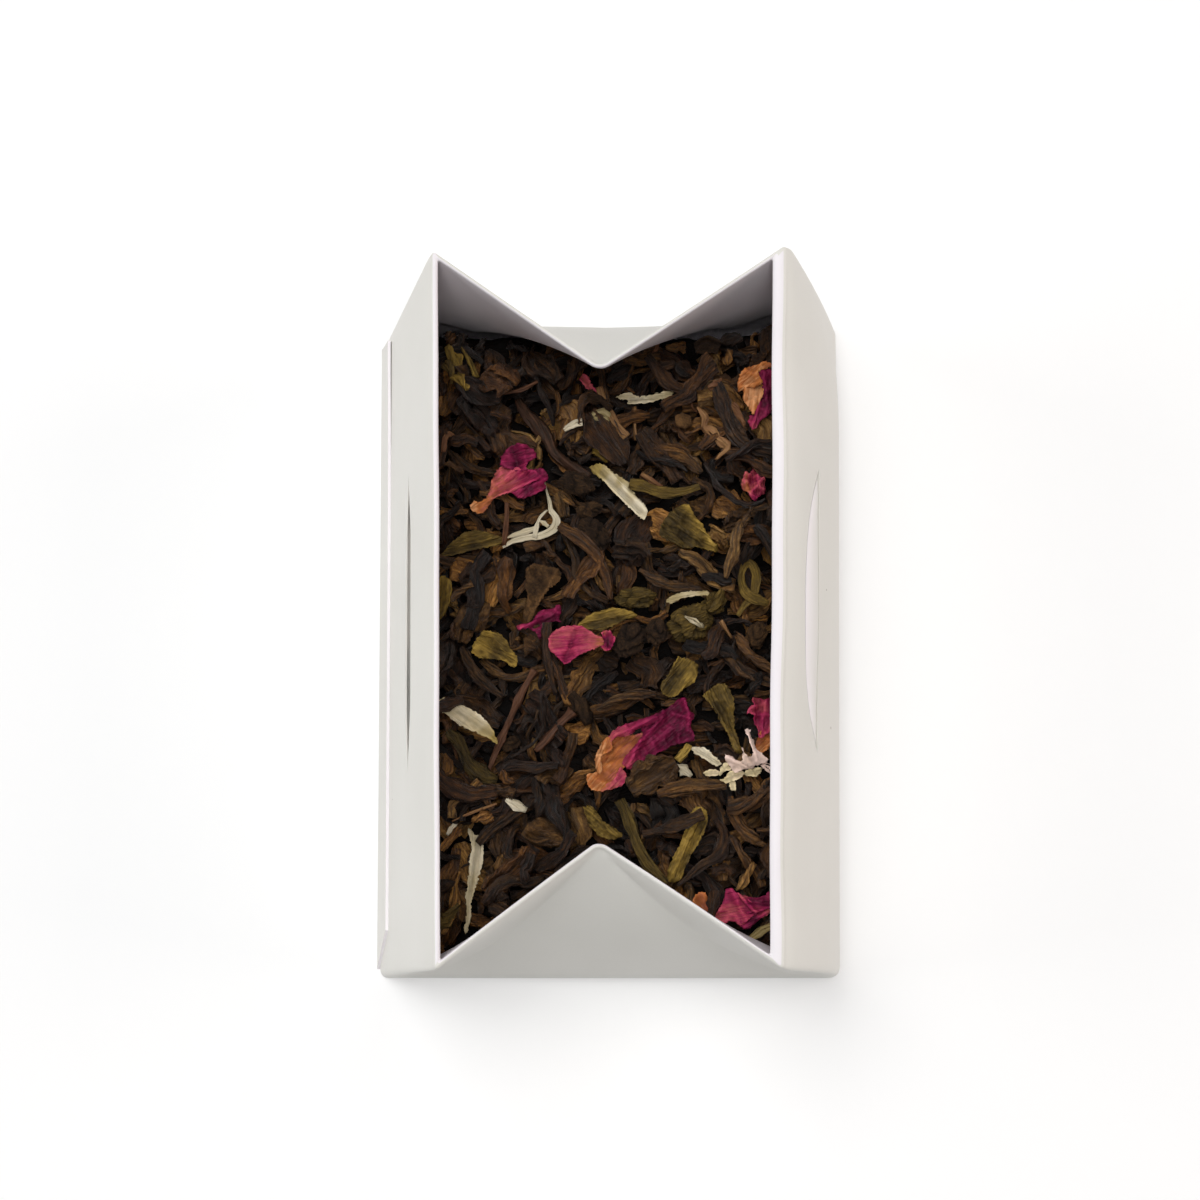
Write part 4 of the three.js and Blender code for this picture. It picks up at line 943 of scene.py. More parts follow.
ROSES = {
    "rose_petal_1": [
        dict(outline=[(471, 509), (475, 505), (484, 505), (490, 497), (492, 487), (496, 475), (503, 468),
        (512, 470),
            (525, 472), (536, 474), (540, 482), (522, 493), (505, 500), (496, 504), (489, 511), (484, 517),
            (475, 516)],
             tones=[(473, 512, 0.02), (484, 509, 0.2), (494, 492, 0.3), (502, 480, 0.34), (512, 482, 0.42),
            (524, 478, 0.52), (534, 478, 0.6), (510, 496, 0.4)],
             folds=[(484, 510, 512, 474, 0.5, 0.6), (492, 505, 536, 484, 0.8, 0.4),
             (500, 492, 528, 478, -0.4, 0.5)],
             cup=0.5, roll=0.5, ripple=0.16),
        dict(outline=[(513, 497), (520, 491), (532, 484), (534, 472), (541, 470), (548, 476), (549, 483),
        (545, 487),
            (547, 491), (540, 496), (532, 500), (521, 502)],
             tones=[(520, 497, 0.6), (535, 478, 0.78), (545, 479, 0.7), (530, 492, 0.86), (540, 492, 0.6)],
             folds=[(514, 497, 547, 483, 0.8, 0.35), (536, 474, 546, 486, 0.4, 0.3)],
             rise=-0.2, cup=0.4, roll=0.4, ripple=0.25, scale=2.2),
        dict(outline=[(501, 469), (502, 458), (507, 451), (515, 447), (526, 447), (535, 453), (537, 459),
        (532, 464),
            (527, 469), (529, 475), (518, 474), (508, 472)],
             tones=[(506, 460, 0.62), (515, 452, 0.8), (526, 453, 0.66), (532, 460, 0.7), (518, 466, 0.86),
            (526, 471, 0.62)],
             folds=[(504, 466, 533, 458, 0.6, 0.4), (512, 450, 520, 472, -0.5, 0.4),
             (524, 449, 526, 472, 0.4, 0.3)],
             rise=0.5, cup=0.6, roll=0.5, ripple=0.22, scale=2.0)],
    "rose_petal_2": [
        dict(outline=[(550, 648), (553, 640), (560, 636), (570, 633), (582, 634), (590, 638), (597, 643),
        (604, 646),
            (606, 652), (600, 655), (593, 658), (583, 662), (575, 667), (568, 672), (562, 668), (556, 662),
            (551, 657)],
             tones=[(556, 648, 0.45), (568, 640, 0.44), (574, 650, 0.58), (584, 642, 0.48), (592, 648, 0.42),
            (600, 650, 0.3), (566, 665, 0.6), (560, 660, 0.52), (580, 656, 0.5)],
             folds=[(572, 652, 566, 668, -0.6, 0.35), (556, 660, 600, 651, 0.3, 0.5),
             (576, 638, 572, 652, -0.3, 0.4)],
             cup=0.5, roll=0.3, ripple=0.14),
        dict(outline=[(602, 643), (607, 639), (612, 642), (615, 650), (612, 657), (606, 661), (602, 657),
        (605, 652)],
             tones=[(607, 649, 0.95), (608, 654, 0.8), (604, 643, 0.35), (613, 648, 0.5), (606, 659, 0.42)],
             rise=0.1, cup=1.2, arch=0.5, roll=0.6, ripple=0.08)],
    "rose_petal_3": [
        dict(outline=[(518, 631), (521, 629), (528, 629), (534, 626), (539, 618), (545, 615), (556, 612),
        (561, 609),
            (562, 618), (560, 624), (563, 628), (555, 627), (550, 628), (545, 636), (542, 645), (538, 640),
            (533, 635), (526, 634), (520, 635)],
             tones=[(520, 632, 0.5), (530, 631, 0.66), (538, 626, 0.72), (548, 618, 0.62), (558, 613, 0.66),
            (541, 638, 0.82), (555, 624, 0.8), (548, 624, 0.86)],
             folds=[(522, 632, 560, 618, 0.6, 0.4), (538, 622, 560, 612, 0.5, 0.3),
             (534, 632, 556, 622, -0.5, 0.3)],
             cup=0.4, roll=0.4, ripple=0.3, scale=2.4)],
    "rose_petal_4": [
        dict(outline=[(640, 728), (648, 723), (661, 716), (672, 709), (680, 703), (686, 704), (688, 714),
        (694, 721),
            (690, 729), (693, 745), (684, 748), (672, 751), (660, 757), (648, 764), (637, 770), (630, 775),
            (622, 768), (632, 754), (642, 742)],
             tones=[(684, 708, 0.7), (676, 714, 0.86), (690, 724, 0.6), (690, 740, 0.84), (672, 722, 0.76),
            (662, 730, 0.7), (676, 736, 0.84), (668, 748, 0.86), (655, 742, 0.72), (645, 752, 0.62),
            (650, 762, 0.8), (636, 764, 0.52), (630, 771, 0.46)],
             folds=[(662, 722, 640, 748, 1.0, 0.5), (640, 748, 628, 772, 0.9, 0.5),
             (672, 718, 690, 724, 0.6, 0.35),
            (684, 705, 688, 720, 0.7, 0.3), (688, 724, 686, 735, 0.5, 0.25), (672, 742, 652, 757, -0.5, 0.5),
            (682, 728, 676, 745, 0.4, 0.3)],
             rise=0.2, cup=0.8, roll=0.5, ripple=0.28, scale=1.8),
        dict(outline=[(609, 744), (618, 741), (630, 740), (641, 738), (650, 741), (642, 751), (633, 763),
        (624, 772),
            (619, 783), (610, 792), (600, 797), (592, 795), (588, 788), (589, 780), (597, 777), (601, 770),
            (601, 760)],
             tones=[(640, 742, 0.34), (630, 748, 0.22), (620, 752, 0.18), (610, 760, 0.13), (606, 770, 0.12),
            (600, 782, 0.14), (594, 790, 0.06), (604, 793, 0.1), (618, 768, 0.2), (628, 760, 0.28),
            (616, 782, 0.3)],
             folds=[(602, 768, 625, 760, -0.35, 0.3), (612, 752, 644, 742, -0.4, 0.6),
             (590, 782, 612, 792, 0.2, 0.5)],
             cup=1.3, roll=0.35, ripple=0.12),
        dict(outline=[(610, 757), (608, 748), (611, 740), (618, 734), (629, 729), (641, 725), (656, 721),
        (660, 726),
            (650, 731), (640, 734), (628, 742), (618, 743), (613, 747)],
             tones=[(611, 752, 0.3), (614, 740, 0.42), (622, 737, 0.46), (630, 734, 0.55), (642, 730, 0.6),
            (655, 725, 0.7)],
             folds=[(612, 752, 616, 741, 0.5, 0.3), (618, 741, 656, 724, 0.7, 0.35)],
             rise=0.9, cup=0.3, roll=0.4, ripple=0.12),
        dict(outline=[(598, 777), (596, 770), (597, 760), (602, 750), (608, 743), (612, 748), (612, 757),
        (606, 760),
            (602, 765), (603, 772), (601, 781)],
             tones=[(600, 775, 0.1), (599, 764, 0.04), (604, 752, 0.05), (610, 746, 0.16), (610, 756, 0.24)],
             folds=[(600, 778, 600, 762, 0.4, 0.3), (602, 762, 611, 756, 0.4, 0.25)],
             rise=0.8, cup=0.3, roll=0.35, ripple=0.08),
        dict(outline=[(621, 772), (626, 779), (627, 784), (622, 791), (612, 795), (601, 797), (607, 790),
        (614, 785),
            (618, 777)],
             tones=[(622, 776, 0.42), (622, 786, 0.44), (612, 792, 0.38), (604, 795, 0.3)],
             rise=0.5, cup=0.4, roll=0.35, ripple=0.08)],
    "rose_petal_5": [
        dict(outline=[(757, 377), (765, 374), (772, 376), (776, 390), (775, 410), (768, 421), (762, 425),
        (757, 433),
            (753, 436), (749, 430), (750, 422), (754, 420), (758, 412), (762, 403), (762, 392), (759, 384)],
             tones=[(764, 380, 0.66), (770, 390, 0.72), (766, 400, 0.8), (770, 412, 0.84), (760, 418, 0.62),
            (754, 430, 0.46), (758, 426, 0.66)],
             folds=[(764, 378, 768, 418, 0.6, 0.4), (760, 410, 752, 432, 0.5, 0.3),
             (770, 384, 772, 410, -0.4, 0.3)],
             cup=0.5, roll=0.45, ripple=0.22),
        dict(outline=[(744, 397), (745, 391), (752, 391), (762, 389), (763, 400), (760, 408), (757, 415),
        (753, 422),
            (749, 414), (745, 409), (743, 404)],
             tones=[(748, 396, 0.06), (756, 396, 0.03), (752, 408, 0.04), (754, 417, 0.1)],
             folds=[(753, 393, 753, 418, 0.3, 0.5)], rise=0.4, cup=0.3, roll=0.3, ripple=0.1),
        dict(outline=[(738, 388), (740, 380), (747, 373), (757, 371), (764, 369), (773, 372), (766, 375),
        (759, 378),
            (761, 386), (762, 391), (755, 394), (745, 394), (739, 397)],
             tones=[(742, 385, 0.1), (750, 377, 0.13), (752, 388, 0.08), (742, 394, 0.06), (760, 373, 0.1),
            (770, 372, 0.2)],
             folds=[(741, 393, 760, 390, 0.4, 0.3), (746, 376, 760, 384, 0.3, 0.5)],
             rise=0.8, cup=0.9, roll=0.3, ripple=0.1)],
    "rose_petal_6": [
        dict(outline=[(741, 490), (742, 484), (746, 477), (749, 481), (753, 474), (759, 476), (763, 483),
        (765, 492),
            (765, 500), (760, 501), (755, 507), (750, 504), (747, 498), (743, 495)],
             tones=[(745, 482, 0.36), (752, 484, 0.52), (748, 494, 0.2), (758, 480, 0.5), (760, 490, 0.42),
            (755, 498, 0.46), (757, 503, 0.6), (763, 496, 0.5)],
             folds=[(750, 500, 764, 484, 0.8, 0.3), (754, 476, 750, 494, -0.6, 0.3),
             (745, 480, 748, 496, 0.6, 0.3),
            (756, 480, 762, 498, 0.4, 0.25)],
             cup=0.3, roll=0.5, ripple=0.4, scale=3.0)],
    "rose_petal_7": [
        dict(outline=[(755, 745), (757, 738), (766, 734), (776, 733), (776, 745), (772, 750), (763, 756),
        (757, 759),
            (751, 757)],
             tones=[(756, 748, 0.2), (766, 740, 0.14), (772, 746, 0.08), (760, 754, 0.06)],
             folds=[(758, 742, 770, 748, 0.4, 0.5)], cup=0.6, roll=0.3, ripple=0.1),
        dict(outline=[(744, 720), (747, 714), (751, 712), (750, 706), (755, 704), (762, 706), (769, 703),
        (776, 704),
            (776, 737), (766, 739), (757, 745), (755, 735), (752, 728), (750, 721)],
             tones=[(748, 718, 0.46), (754, 708, 0.46), (760, 714, 0.42), (768, 710, 0.52), (757, 724, 0.6),
            (766, 726, 0.6), (756, 738, 0.5), (768, 734, 0.42)],
             folds=[(750, 721, 774, 722, 0.7, 0.4), (755, 706, 757, 740, -0.6, 0.35),
             (763, 706, 762, 720, 0.6, 0.3),
            (760, 726, 759, 742, 0.5, 0.3), (748, 716, 756, 712, 0.5, 0.3)],
             rise=0.5, cup=0.4, roll=0.5, ripple=0.26, scale=2.2)],
    "rose_petal_8": [
        dict(outline=[(689, 905), (692, 899), (697, 894), (704, 896), (706, 905), (710, 914), (709, 921),
        (700, 916),
            (693, 910)],
             tones=[(692, 904, 0.12), (698, 900, 0.2), (703, 908, 0.26), (706, 917, 0.28)],
             folds=[(694, 900, 706, 916, -0.4, 0.4)], cup=0.3, roll=0.3, ripple=0.12),
        dict(outline=[(712, 915), (717, 909), (721, 900), (722, 893), (727, 891), (734, 896), (741, 900),
        (750, 906),
            (755, 911), (747, 918), (738, 926), (728, 923), (718, 925), (708, 921)],
             tones=[(714, 918, 0.4), (724, 898, 0.6), (732, 902, 0.56), (726, 910, 0.42), (736, 912, 0.5),
            (730, 920, 0.46), (745, 908, 0.5)],
             folds=[(727, 892, 742, 922, 0.5, 0.35), (716, 916, 736, 908, -0.3, 0.5)],
             rise=0.2, cup=0.4, roll=0.35, ripple=0.14),
        dict(outline=[(733, 896), (745, 899), (755, 900), (765, 895), (771, 900), (769, 908), (760, 912),
        (750, 915),
            (744, 910), (738, 903)],
             tones=[(740, 899, 0.44), (748, 903, 0.74), (758, 904, 0.78), (766, 900, 0.6), (752, 912, 0.5)],
             folds=[(734, 896, 750, 914, 0.7, 0.3), (750, 914, 768, 908, 0.5, 0.3),
             (748, 901, 764, 906, -0.4, 0.4)],
             rise=0.6, cup=0.5, roll=0.4, ripple=0.16),
        dict(outline=[(737, 918), (744, 913), (756, 912), (769, 908), (766, 914), (755, 921), (743, 930),
        (736, 927)],
             tones=[(742, 920, 0.6), (748, 920, 0.9), (755, 916, 0.5), (765, 911, 0.36)],
             folds=[(740, 928, 766, 911, 0.5, 0.3)], rise=0.3, cup=0.3, roll=0.4, ripple=0.12)],
    "rose_petal_9": [
        dict(outline=[(580, 378), (583, 372), (588, 375), (592, 383), (597, 391), (596, 395), (592, 392),
        (585, 386)],
             tones=[(582, 375, 0.42), (588, 382, 0.34), (595, 392, 0.44)],
             folds=[(582, 375, 595, 393, -0.3, 0.25)], cup=0.3, roll=0.25, ripple=0.06)],
}
for seed, (node, sheets) in enumerate(ROSES.items()):
    show_sheets(node, rose_skin, "rose_petal", sheets, seed=seed + 20, sink=1.2 if node == "rose_petal_9" else 0.2)


# --- White petals and florets -------------------------------------------------------------------------
# Dried white blossom: cream straps and slips, some green at the foot, a forked floret and an open one
# with pale pink points.

white_skin = plant_finish("white_skin", [
    (0.0, (224, 212, 186)), (0.3, (196, 180, 144)), (0.5, (164, 146, 104)), (0.75, (160, 138, 76)),
        (1.0, (108, 88, 44)),
], along=0.1, scale=2.8, streak=0.22, cloud=0.14, relief=0.0003, roughness=(0.5, 0.75), wrinkle=0.3)

WHITE_PETALS = {
    "white_petal_1": dict(
        outline=[(617, 395), (624, 392), (630, 391), (638, 395), (650, 395), (662, 392), (674, 391), (673, 396),
            (662, 400), (650, 403), (638, 404), (628, 403), (630, 399), (622, 398)],
        tones=[(620, 396, 0.3), (640, 399, 0.2), (660, 397, 0.3), (672, 393, 0.45)],
        folds=[(630, 398, 672, 394, -0.15, 0.25)], cup=0.25, roll=0.1, ripple=0.1),
    "white_petal_2": dict(
        outline=[(590, 468), (597, 465), (604, 466), (612, 473), (622, 480), (630, 486), (633, 494), (641, 504),
            (648, 513), (645, 524), (636, 517), (627, 508), (615, 495), (604, 483), (594, 474)],
        tones=[(592, 468, 0.95), (598, 470, 0.85), (604, 474, 0.55), (612, 482, 0.2), (625, 495, 0.05),
        (640, 512, 0.05),
            (622, 482, 0.5), (632, 492, 0.5), (645, 520, 0.2)],
        folds=[(602, 474, 640, 516, -0.35, 0.3),
        (606, 470, 646, 515, 0.25, 0.2)], cup=0.35, roll=0.12, ripple=0.05),
    "white_petal_3": dict(
        outline=[(439, 708), (447, 704), (456, 705), (465, 711), (480, 719), (490, 728), (497, 738), (501, 750),
            (491, 744), (478, 738), (463, 731), (452, 722), (443, 716)],
        tones=[(443, 710, 0.35), (465, 720, 0.2), (480, 729, 0.3), (490, 738, 0.5), (498, 747, 0.85),
        (485, 724, 0.12)],
        folds=[(462, 718, 496, 742, -0.25, 0.35)], cup=0.35, roll=0.15, ripple=0.06),
    "white_petal_4": dict(
        outline=[(470, 828), (474, 832), (478, 837), (484, 836), (486, 850), (485, 865), (480, 884), (475, 902),
            (475, 913), (473, 925), (470, 934), (468, 930), (470, 919), (470, 909), (469, 899), (471, 884),
            (472, 865), (474, 848), (471, 836)],
        tones=[(474, 840, 0.25), (478, 860, 0.15), (474, 890, 0.3), (471, 930, 0.35)],
        folds=[(480, 842, 473, 892, -0.3, 0.3)], cup=0.3, roll=0.15, ripple=0.07),
    "white_petal_5": dict(
        outline=[(665, 609), (670, 604), (682, 600), (695, 599), (707, 599), (706, 603), (692, 604), (680, 607),
            (670, 611)],
        tones=[(668, 608, 0.5), (690, 601, 0.35), (705, 600, 0.5)], cup=0.15, roll=0.05, ripple=0.05),
    "white_petal_6": dict(
        outline=[(689, 752), (700, 751), (708, 755), (714, 762), (720, 768), (715, 771), (706, 765), (696, 759)],
        tones=[(692, 753, 0.1), (705, 760, 0.05), (716, 768, 0.2)],
        folds=[(694, 754, 716, 768, -0.2, 0.25)], cup=0.3, roll=0.1, ripple=0.12, scale=2.5),
}
for seed, (node, shape) in enumerate(WHITE_PETALS.items()):
    show_sheets(node, white_skin, "white_petal", [shape], seed=seed + 40)


def show_strips(node, material, slot, strips, seed, tone=0.3, lift=0.35):
    """Narrow curled strips on lines in the photograph, together in their CAD node's place."""
    rng = np.random.default_rng(seed)
    everything = np.concatenate([on_tea([p[:2] for p in line]) for line, _, _ in strips])
    shift, low, slope = seat(node, everything)
    middle = everything.mean(0)
    pile = Pile()
    for line, widths, extra in strips:
        drawn = photo_path(line)
        flat, rise = drawn[:, :2], drawn[:, 2]
        path = np.c_[flat + shift, low + lift + rise + (flat - middle) @ slope]
        rings = max(7, int(np.linalg.norm(np.diff(path, axis=0), axis=1).sum() / 0.5))
        shape = dict(flat=0.35, twist=0.6, ridge=0.12, ridges=4, wave=0.15, cup=0.8, start_turn=0.0) | extra
        own = shape.pop("tone", tone)
        places, faces, grain, _, _, crest = leaf_form(through(path, rings), widths, rng, **shape)
        # The last value is painted shade in the strip's grooves and painted highlight on its ridges.
        pile.add(places, faces, grain, own, 0.15 - 0.3 * crest)
    show(pile, "dried_" + node, material, slot, node, THIN)


show_strips("white_floret_1", white_skin, "white_petal", [
    ([(553, 470, 0.2), (555, 480), (558, 492), (559, 500, 0.1), (564, 507, 0.3), (565, 514, 0.3), (560, 521, 0.2),
      (548, 526, 0.2), (535, 527, 0.1), (522, 530), (514, 535), (511, 537)],
     [0.3, 0.5, 0.7, 0.75, 1.0, 1.3, 1.3, 1.2, 1.0, 1.1, 0.8, 0.3], dict(tone=0.12, cup=1.2, wave=0.25)),
    ([(543, 528, 0.3), (545, 518, 0.5), (547, 511, 0.7), (550, 506, 0.7), (556, 500, 0.5)],
     [0.9, 0.8, 0.5, 0.4, 0.25], dict(tone=0.05)),
    ([(548, 511, 0.6), (552, 513, 0.6), (557, 517, 0.4)], [0.3, 0.7, 0.6], dict(tone=0.2)),
    ([(514, 528, 0.3), (522, 525, 0.3), (532, 522, 0.4), (545, 518, 0.4)], [0.2, 0.7, 0.9, 0.8], dict(tone=0.16)),
], seed=61)

# Pale pink points over cream ones, with fine threads at the right.
blossom_skin = plant_finish("blossom_skin", [
    (0.0, (226, 198, 186)), (0.35, (208, 182, 164)), (0.6, (208, 192, 152)), (0.85, (166, 146, 100)),
        (1.0, (110, 84, 52)),
], along=0.1, scale=2.8, streak=0.18, cloud=0.12, relief=0.0002, wrinkle=0.2)
show_sheets("white_floret_2", blossom_skin, "white_petal", [
    dict(outline=[(701, 779), (707, 776), (715, 777), (718, 781), (709, 783), (703, 782)],
         tones=[(702, 780, 0.7), (710, 780, 0.5)], cup=0.3, roll=0.15, ripple=0.06),
    dict(outline=[(744, 776), (755, 774), (757, 778), (753, 783), (747, 783), (740, 781)],
         tones=[(750, 779, 0.62)], cup=0.6, roll=0.3, ripple=0.08),
    dict(outline=[(726, 787), (731, 786), (732, 796),
        (727, 795)], tones=[(729, 792, 0.6)], cup=0.3, roll=0.1, ripple=0.04),
    dict(outline=[(717, 786), (722, 784), (725, 779), (733, 778), (741, 779), (738, 784), (731, 788), (724, 790),
            (718, 788)], tones=[(720, 786, 0.75), (730, 783, 0.55)], rise=0.3, cup=0.5, roll=0.25, ripple=0.1),
    dict(outline=[(716, 776), (722, 770), (728, 772), (727, 777), (720, 779), (717, 783)],
         tones=[(722, 774, 0.6)], rise=0.4, cup=0.4, roll=0.3, ripple=0.06),
    dict(outline=[(721, 762), (727, 764), (734, 768), (741, 771), (750, 773), (748, 776), (740, 777), (731, 780),
            (726, 773), (722, 767)], tones=[(725, 767, 0.1), (738, 774, 0.25)],
         folds=[(723, 764, 742, 774, 0.4, 0.4)], rise=0.7, cup=0.4, roll=0.25, ripple=0.06),
    dict(outline=[(738, 755), (741, 762), (745, 765), (748, 763), (748, 757), (744, 748), (742, 738), (744, 737),
            (746, 739), (747, 745), (750, 750), (752, 757), (756, 761), (760, 764), (763, 769), (757, 772),
            (750, 774), (742, 774), (738, 770), (739, 762)], tones=[(744, 742, 0.05), (750, 760, 0.08),
         (742, 768, 0.3), (756, 767, 0.1)], folds=[(744, 744, 752, 768, 0.4, 0.3), (740, 760, 744, 770, 0.3, 0.3)],
         rise=1.1, cup=0.5, roll=0.3, ripple=0.08),
    dict(outline=[(756, 773), (759, 772), (766, 780),
        (764, 780)], rise=0.8, tones=[(760, 775, 0.2)], ripple=0.02, roll=0),
    dict(outline=[(758, 772), (760, 771), (768, 777),
        (767, 778)], rise=1.0, tones=[(760, 775, 0.2)], ripple=0.02, roll=0),
    dict(outline=[(759, 771), (760, 770), (768, 773),
        (768, 774)], rise=1.1, tones=[(760, 775, 0.2)], ripple=0.02, roll=0),
], seed=62)


# --- Green leaves and twists --------------------------------------------------------------------------
# Green tea among the black: folded, curled and looped leaves in olive and yellow green, with lighter
# edges, partly their own colour and partly a painted highlight, and fine veins.

green_skin = plant_finish("green_skin", [
    (0.0, (40, 31, 17)), (0.25, (72, 58, 30)), (0.5, (112, 90, 42)), (0.75, (156, 126, 56)), (1.0, (204, 168, 84)),
], along=0.2, scale=3.8, streak=0.36, cloud=0.24, relief=0.0006, roughness=(0.42, 0.68), wrinkle=0.3)

GREEN_LEAVES = {
    "green_leaf_1": dict(
        outline=[(484, 632), (492, 634), (505, 640), (512, 652), (519, 662), (516, 671), (505, 665), (494, 662),
            (481, 661), (473, 654), (477, 642)],
        tones=[(484, 636, 0.75), (500, 645, 0.5), (486, 652, 0.62), (512, 664, 0.7), (498, 656, 0.42),
        (476, 653, 0.8)],
        folds=[(482, 636, 512, 664, -0.5, 0.5), (478, 650, 504, 660, 0.35, 0.4), (492, 636, 506, 656, 0.4, 0.35)],
        cup=0.5, roll=0.35, ripple=0.2),
    "green_leaf_2": dict(
        outline=[(661, 530), (667, 520), (679, 510), (688, 508), (693, 515), (702, 528), (711, 543), (718, 551),
            (715, 557), (700, 551), (685, 553), (670, 546), (660, 539)],
        tones=[(668, 530, 0.25), (682, 520, 0.3), (685, 540, 0.18), (700, 548, 0.3), (690, 512, 0.7),
        (701, 528, 0.75),
            (711, 545, 0.8), (716, 555, 0.6)],
        folds=[(688, 510, 715, 552, 0.5, 0.35), (668, 530, 700, 548, -0.5, 0.5), (672, 520, 690, 535, 0.4, 0.4),
            (665, 540, 690, 548, 0.35, 0.3)],
        cup=0.5, roll=0.2, ripple=0.35),
    "green_leaf_3": dict(
        outline=[(577, 633), (584, 626), (592, 620), (605, 616), (620, 615), (636, 620), (635, 624), (625, 626),
            (615, 632), (602, 637), (590, 635), (582, 637)],
        tones=[(580, 632, 0.7), (592, 622, 0.8), (606, 618, 0.78), (620, 618, 0.8), (634, 621, 0.7),
        (605, 628, 0.3),
            (595, 631, 0.35), (620, 625, 0.35)],
        folds=[(582, 630, 632, 620, 0.3, 0.3), (588, 632, 618, 626, -0.45, 0.4)], cup=0.3, roll=0.35, ripple=0.12),
    "green_leaf_5": dict(
        outline=[(678, 662), (688, 665), (696, 670), (697, 678), (693, 688), (685, 694), (673, 703), (664, 700),
            (660, 690), (668, 680), (673, 670)],
        tones=[(680, 666, 0.6), (692, 672, 0.5), (690, 686, 0.66), (675, 698, 0.55), (676, 682, 0.3),
        (666, 692, 0.35)],
        folds=[(680, 666, 668, 698, -0.5, 0.5), (692, 672, 680, 696, 0.4, 0.4)], cup=0.5, roll=0.35, ripple=0.25),
    "green_leaf_6": dict(
        outline=[(701, 702), (712, 693), (722, 690), (730, 700), (732, 715), (732, 730), (737, 750), (739, 760),
            (731, 757), (726, 742), (719, 730), (712, 716)],
        tones=[(708, 700, 0.5), (722, 698, 0.4), (728, 720, 0.5), (732, 745, 0.45), (716, 716, 0.25)],
        folds=[(704, 702, 736, 756, 0.7, 0.5), (716, 694, 730, 735, -0.5, 0.4)], cup=0.4, roll=0.35, ripple=0.28),
    "green_leaf_7": dict(
        outline=[(694, 812), (703, 815), (705, 824), (702, 836), (695, 850), (687, 863), (680, 880), (674, 885),
            (666, 882), (668, 869), (677, 850), (685, 830), (690, 817)],
        tones=[(696, 818, 0.85), (692, 835, 0.7), (684, 852, 0.72), (674, 875, 0.62), (700, 830, 0.45),
        (688, 862, 0.4)],
        folds=[(697, 815, 671, 880, 0.7, 0.45), (702, 822, 680, 875, -0.5, 0.35), (690, 818, 668, 874, 0.3, 0.3)],
        cup=-0.7, roll=0.1, ripple=0.22, scale=2.2),
    "green_leaf_8": dict(
        outline=[(584, 811), (590, 808), (597, 814), (605, 825), (617, 832), (622, 839), (608, 842), (597, 836),
            (589, 825)],
        tones=[(588, 812, 0.6), (600, 825, 0.5), (616, 836, 0.6)],
        folds=[(588, 812, 618, 838, 0.5, 0.4)], cup=0.3, roll=0.3, ripple=0.4, scale=3.0),
    "green_leaf_9": dict(
        outline=[(437, 586), (443, 576), (450, 580), (453, 590), (451, 602), (446, 615), (439, 621), (435, 605)],
        tones=[(444, 580, 0.7), (450, 595, 0.6), (441, 612, 0.5)],
        folds=[(445, 580, 441, 616, -0.5, 0.4)], cup=0.5, roll=0.3, ripple=0.2),
    "green_leaf_11": dict(
        outline=[(441, 553), (446, 546), (455, 538), (467, 530), (480, 529), (492, 533), (503, 537), (498, 544),
            (482, 547), (462, 552), (448, 555)],
        tones=[(446, 550, 0.35), (462, 540, 0.5), (478, 536, 0.42), (495, 538, 0.5), (475, 545, 0.3)],
        folds=[(444, 552, 500, 539, -0.3, 0.4)], cup=0.3, roll=0.2, ripple=0.15),
}
for seed, (node, shape) in enumerate(GREEN_LEAVES.items()):
    show_sheets(node, green_skin, "green_leaf", [shape], seed=seed + 70)

GREEN_LINES = {
    "green_leaf_4": ([(737, 621), (743, 612), (752, 602, 0.3), (755, 590, 0.6), (755, 578, 0.8), (749, 568, 0.8),
            (743, 573, 0.5), (741, 586, 0.2), (746, 600, 0.6), (756, 606, 0.9), (767, 610, 0.6)],
                     [0.7, 1.0, 1.2, 1.3, 1.2, 1.3, 1.1, 1.2, 1.4, 1.6, 0.9], dict(tone=0.55)),
    "green_leaf_10": ([(451, 735), (461, 746), (468, 760), (474, 771), (487, 780), (500, 783)],
                      [1.3, 1.8, 2.0, 2.6, 3.0, 1.6], dict(tone=0.3, ridge=0.4, wave=0.3)),
    "green_twist_1": ([(630, 487), (642, 490), (656, 495), (672, 497), (688, 494), (700, 490)],
                      [1.7, 2.1, 2.0, 1.8, 1.5, 1.1], dict(tone=0.5, ridge=0.35)),
    "green_twist_2": ([(620, 803), (626, 815), (632, 832), (638, 850), (646, 865), (655, 876), (664, 887)],
                      [1.7, 1.9, 1.6, 1.5, 1.7, 1.7, 1.2], dict(tone=0.42, ridge=0.4, ridges=5)),
}
for seed, (node, strip) in enumerate(GREEN_LINES.items()):
    show_strips(node, green_skin, "green_leaf", [strip], seed=seed + 90, lift=0.8)


# --- Nuggets ------------------------------------------------------------------------------------------
# Leaf rolled into pellets and crumbs of bark: closed lumps with wrapped folds and pits.


LUMP_SCALE, LUMP_FOLDS = 2.2, 0.22


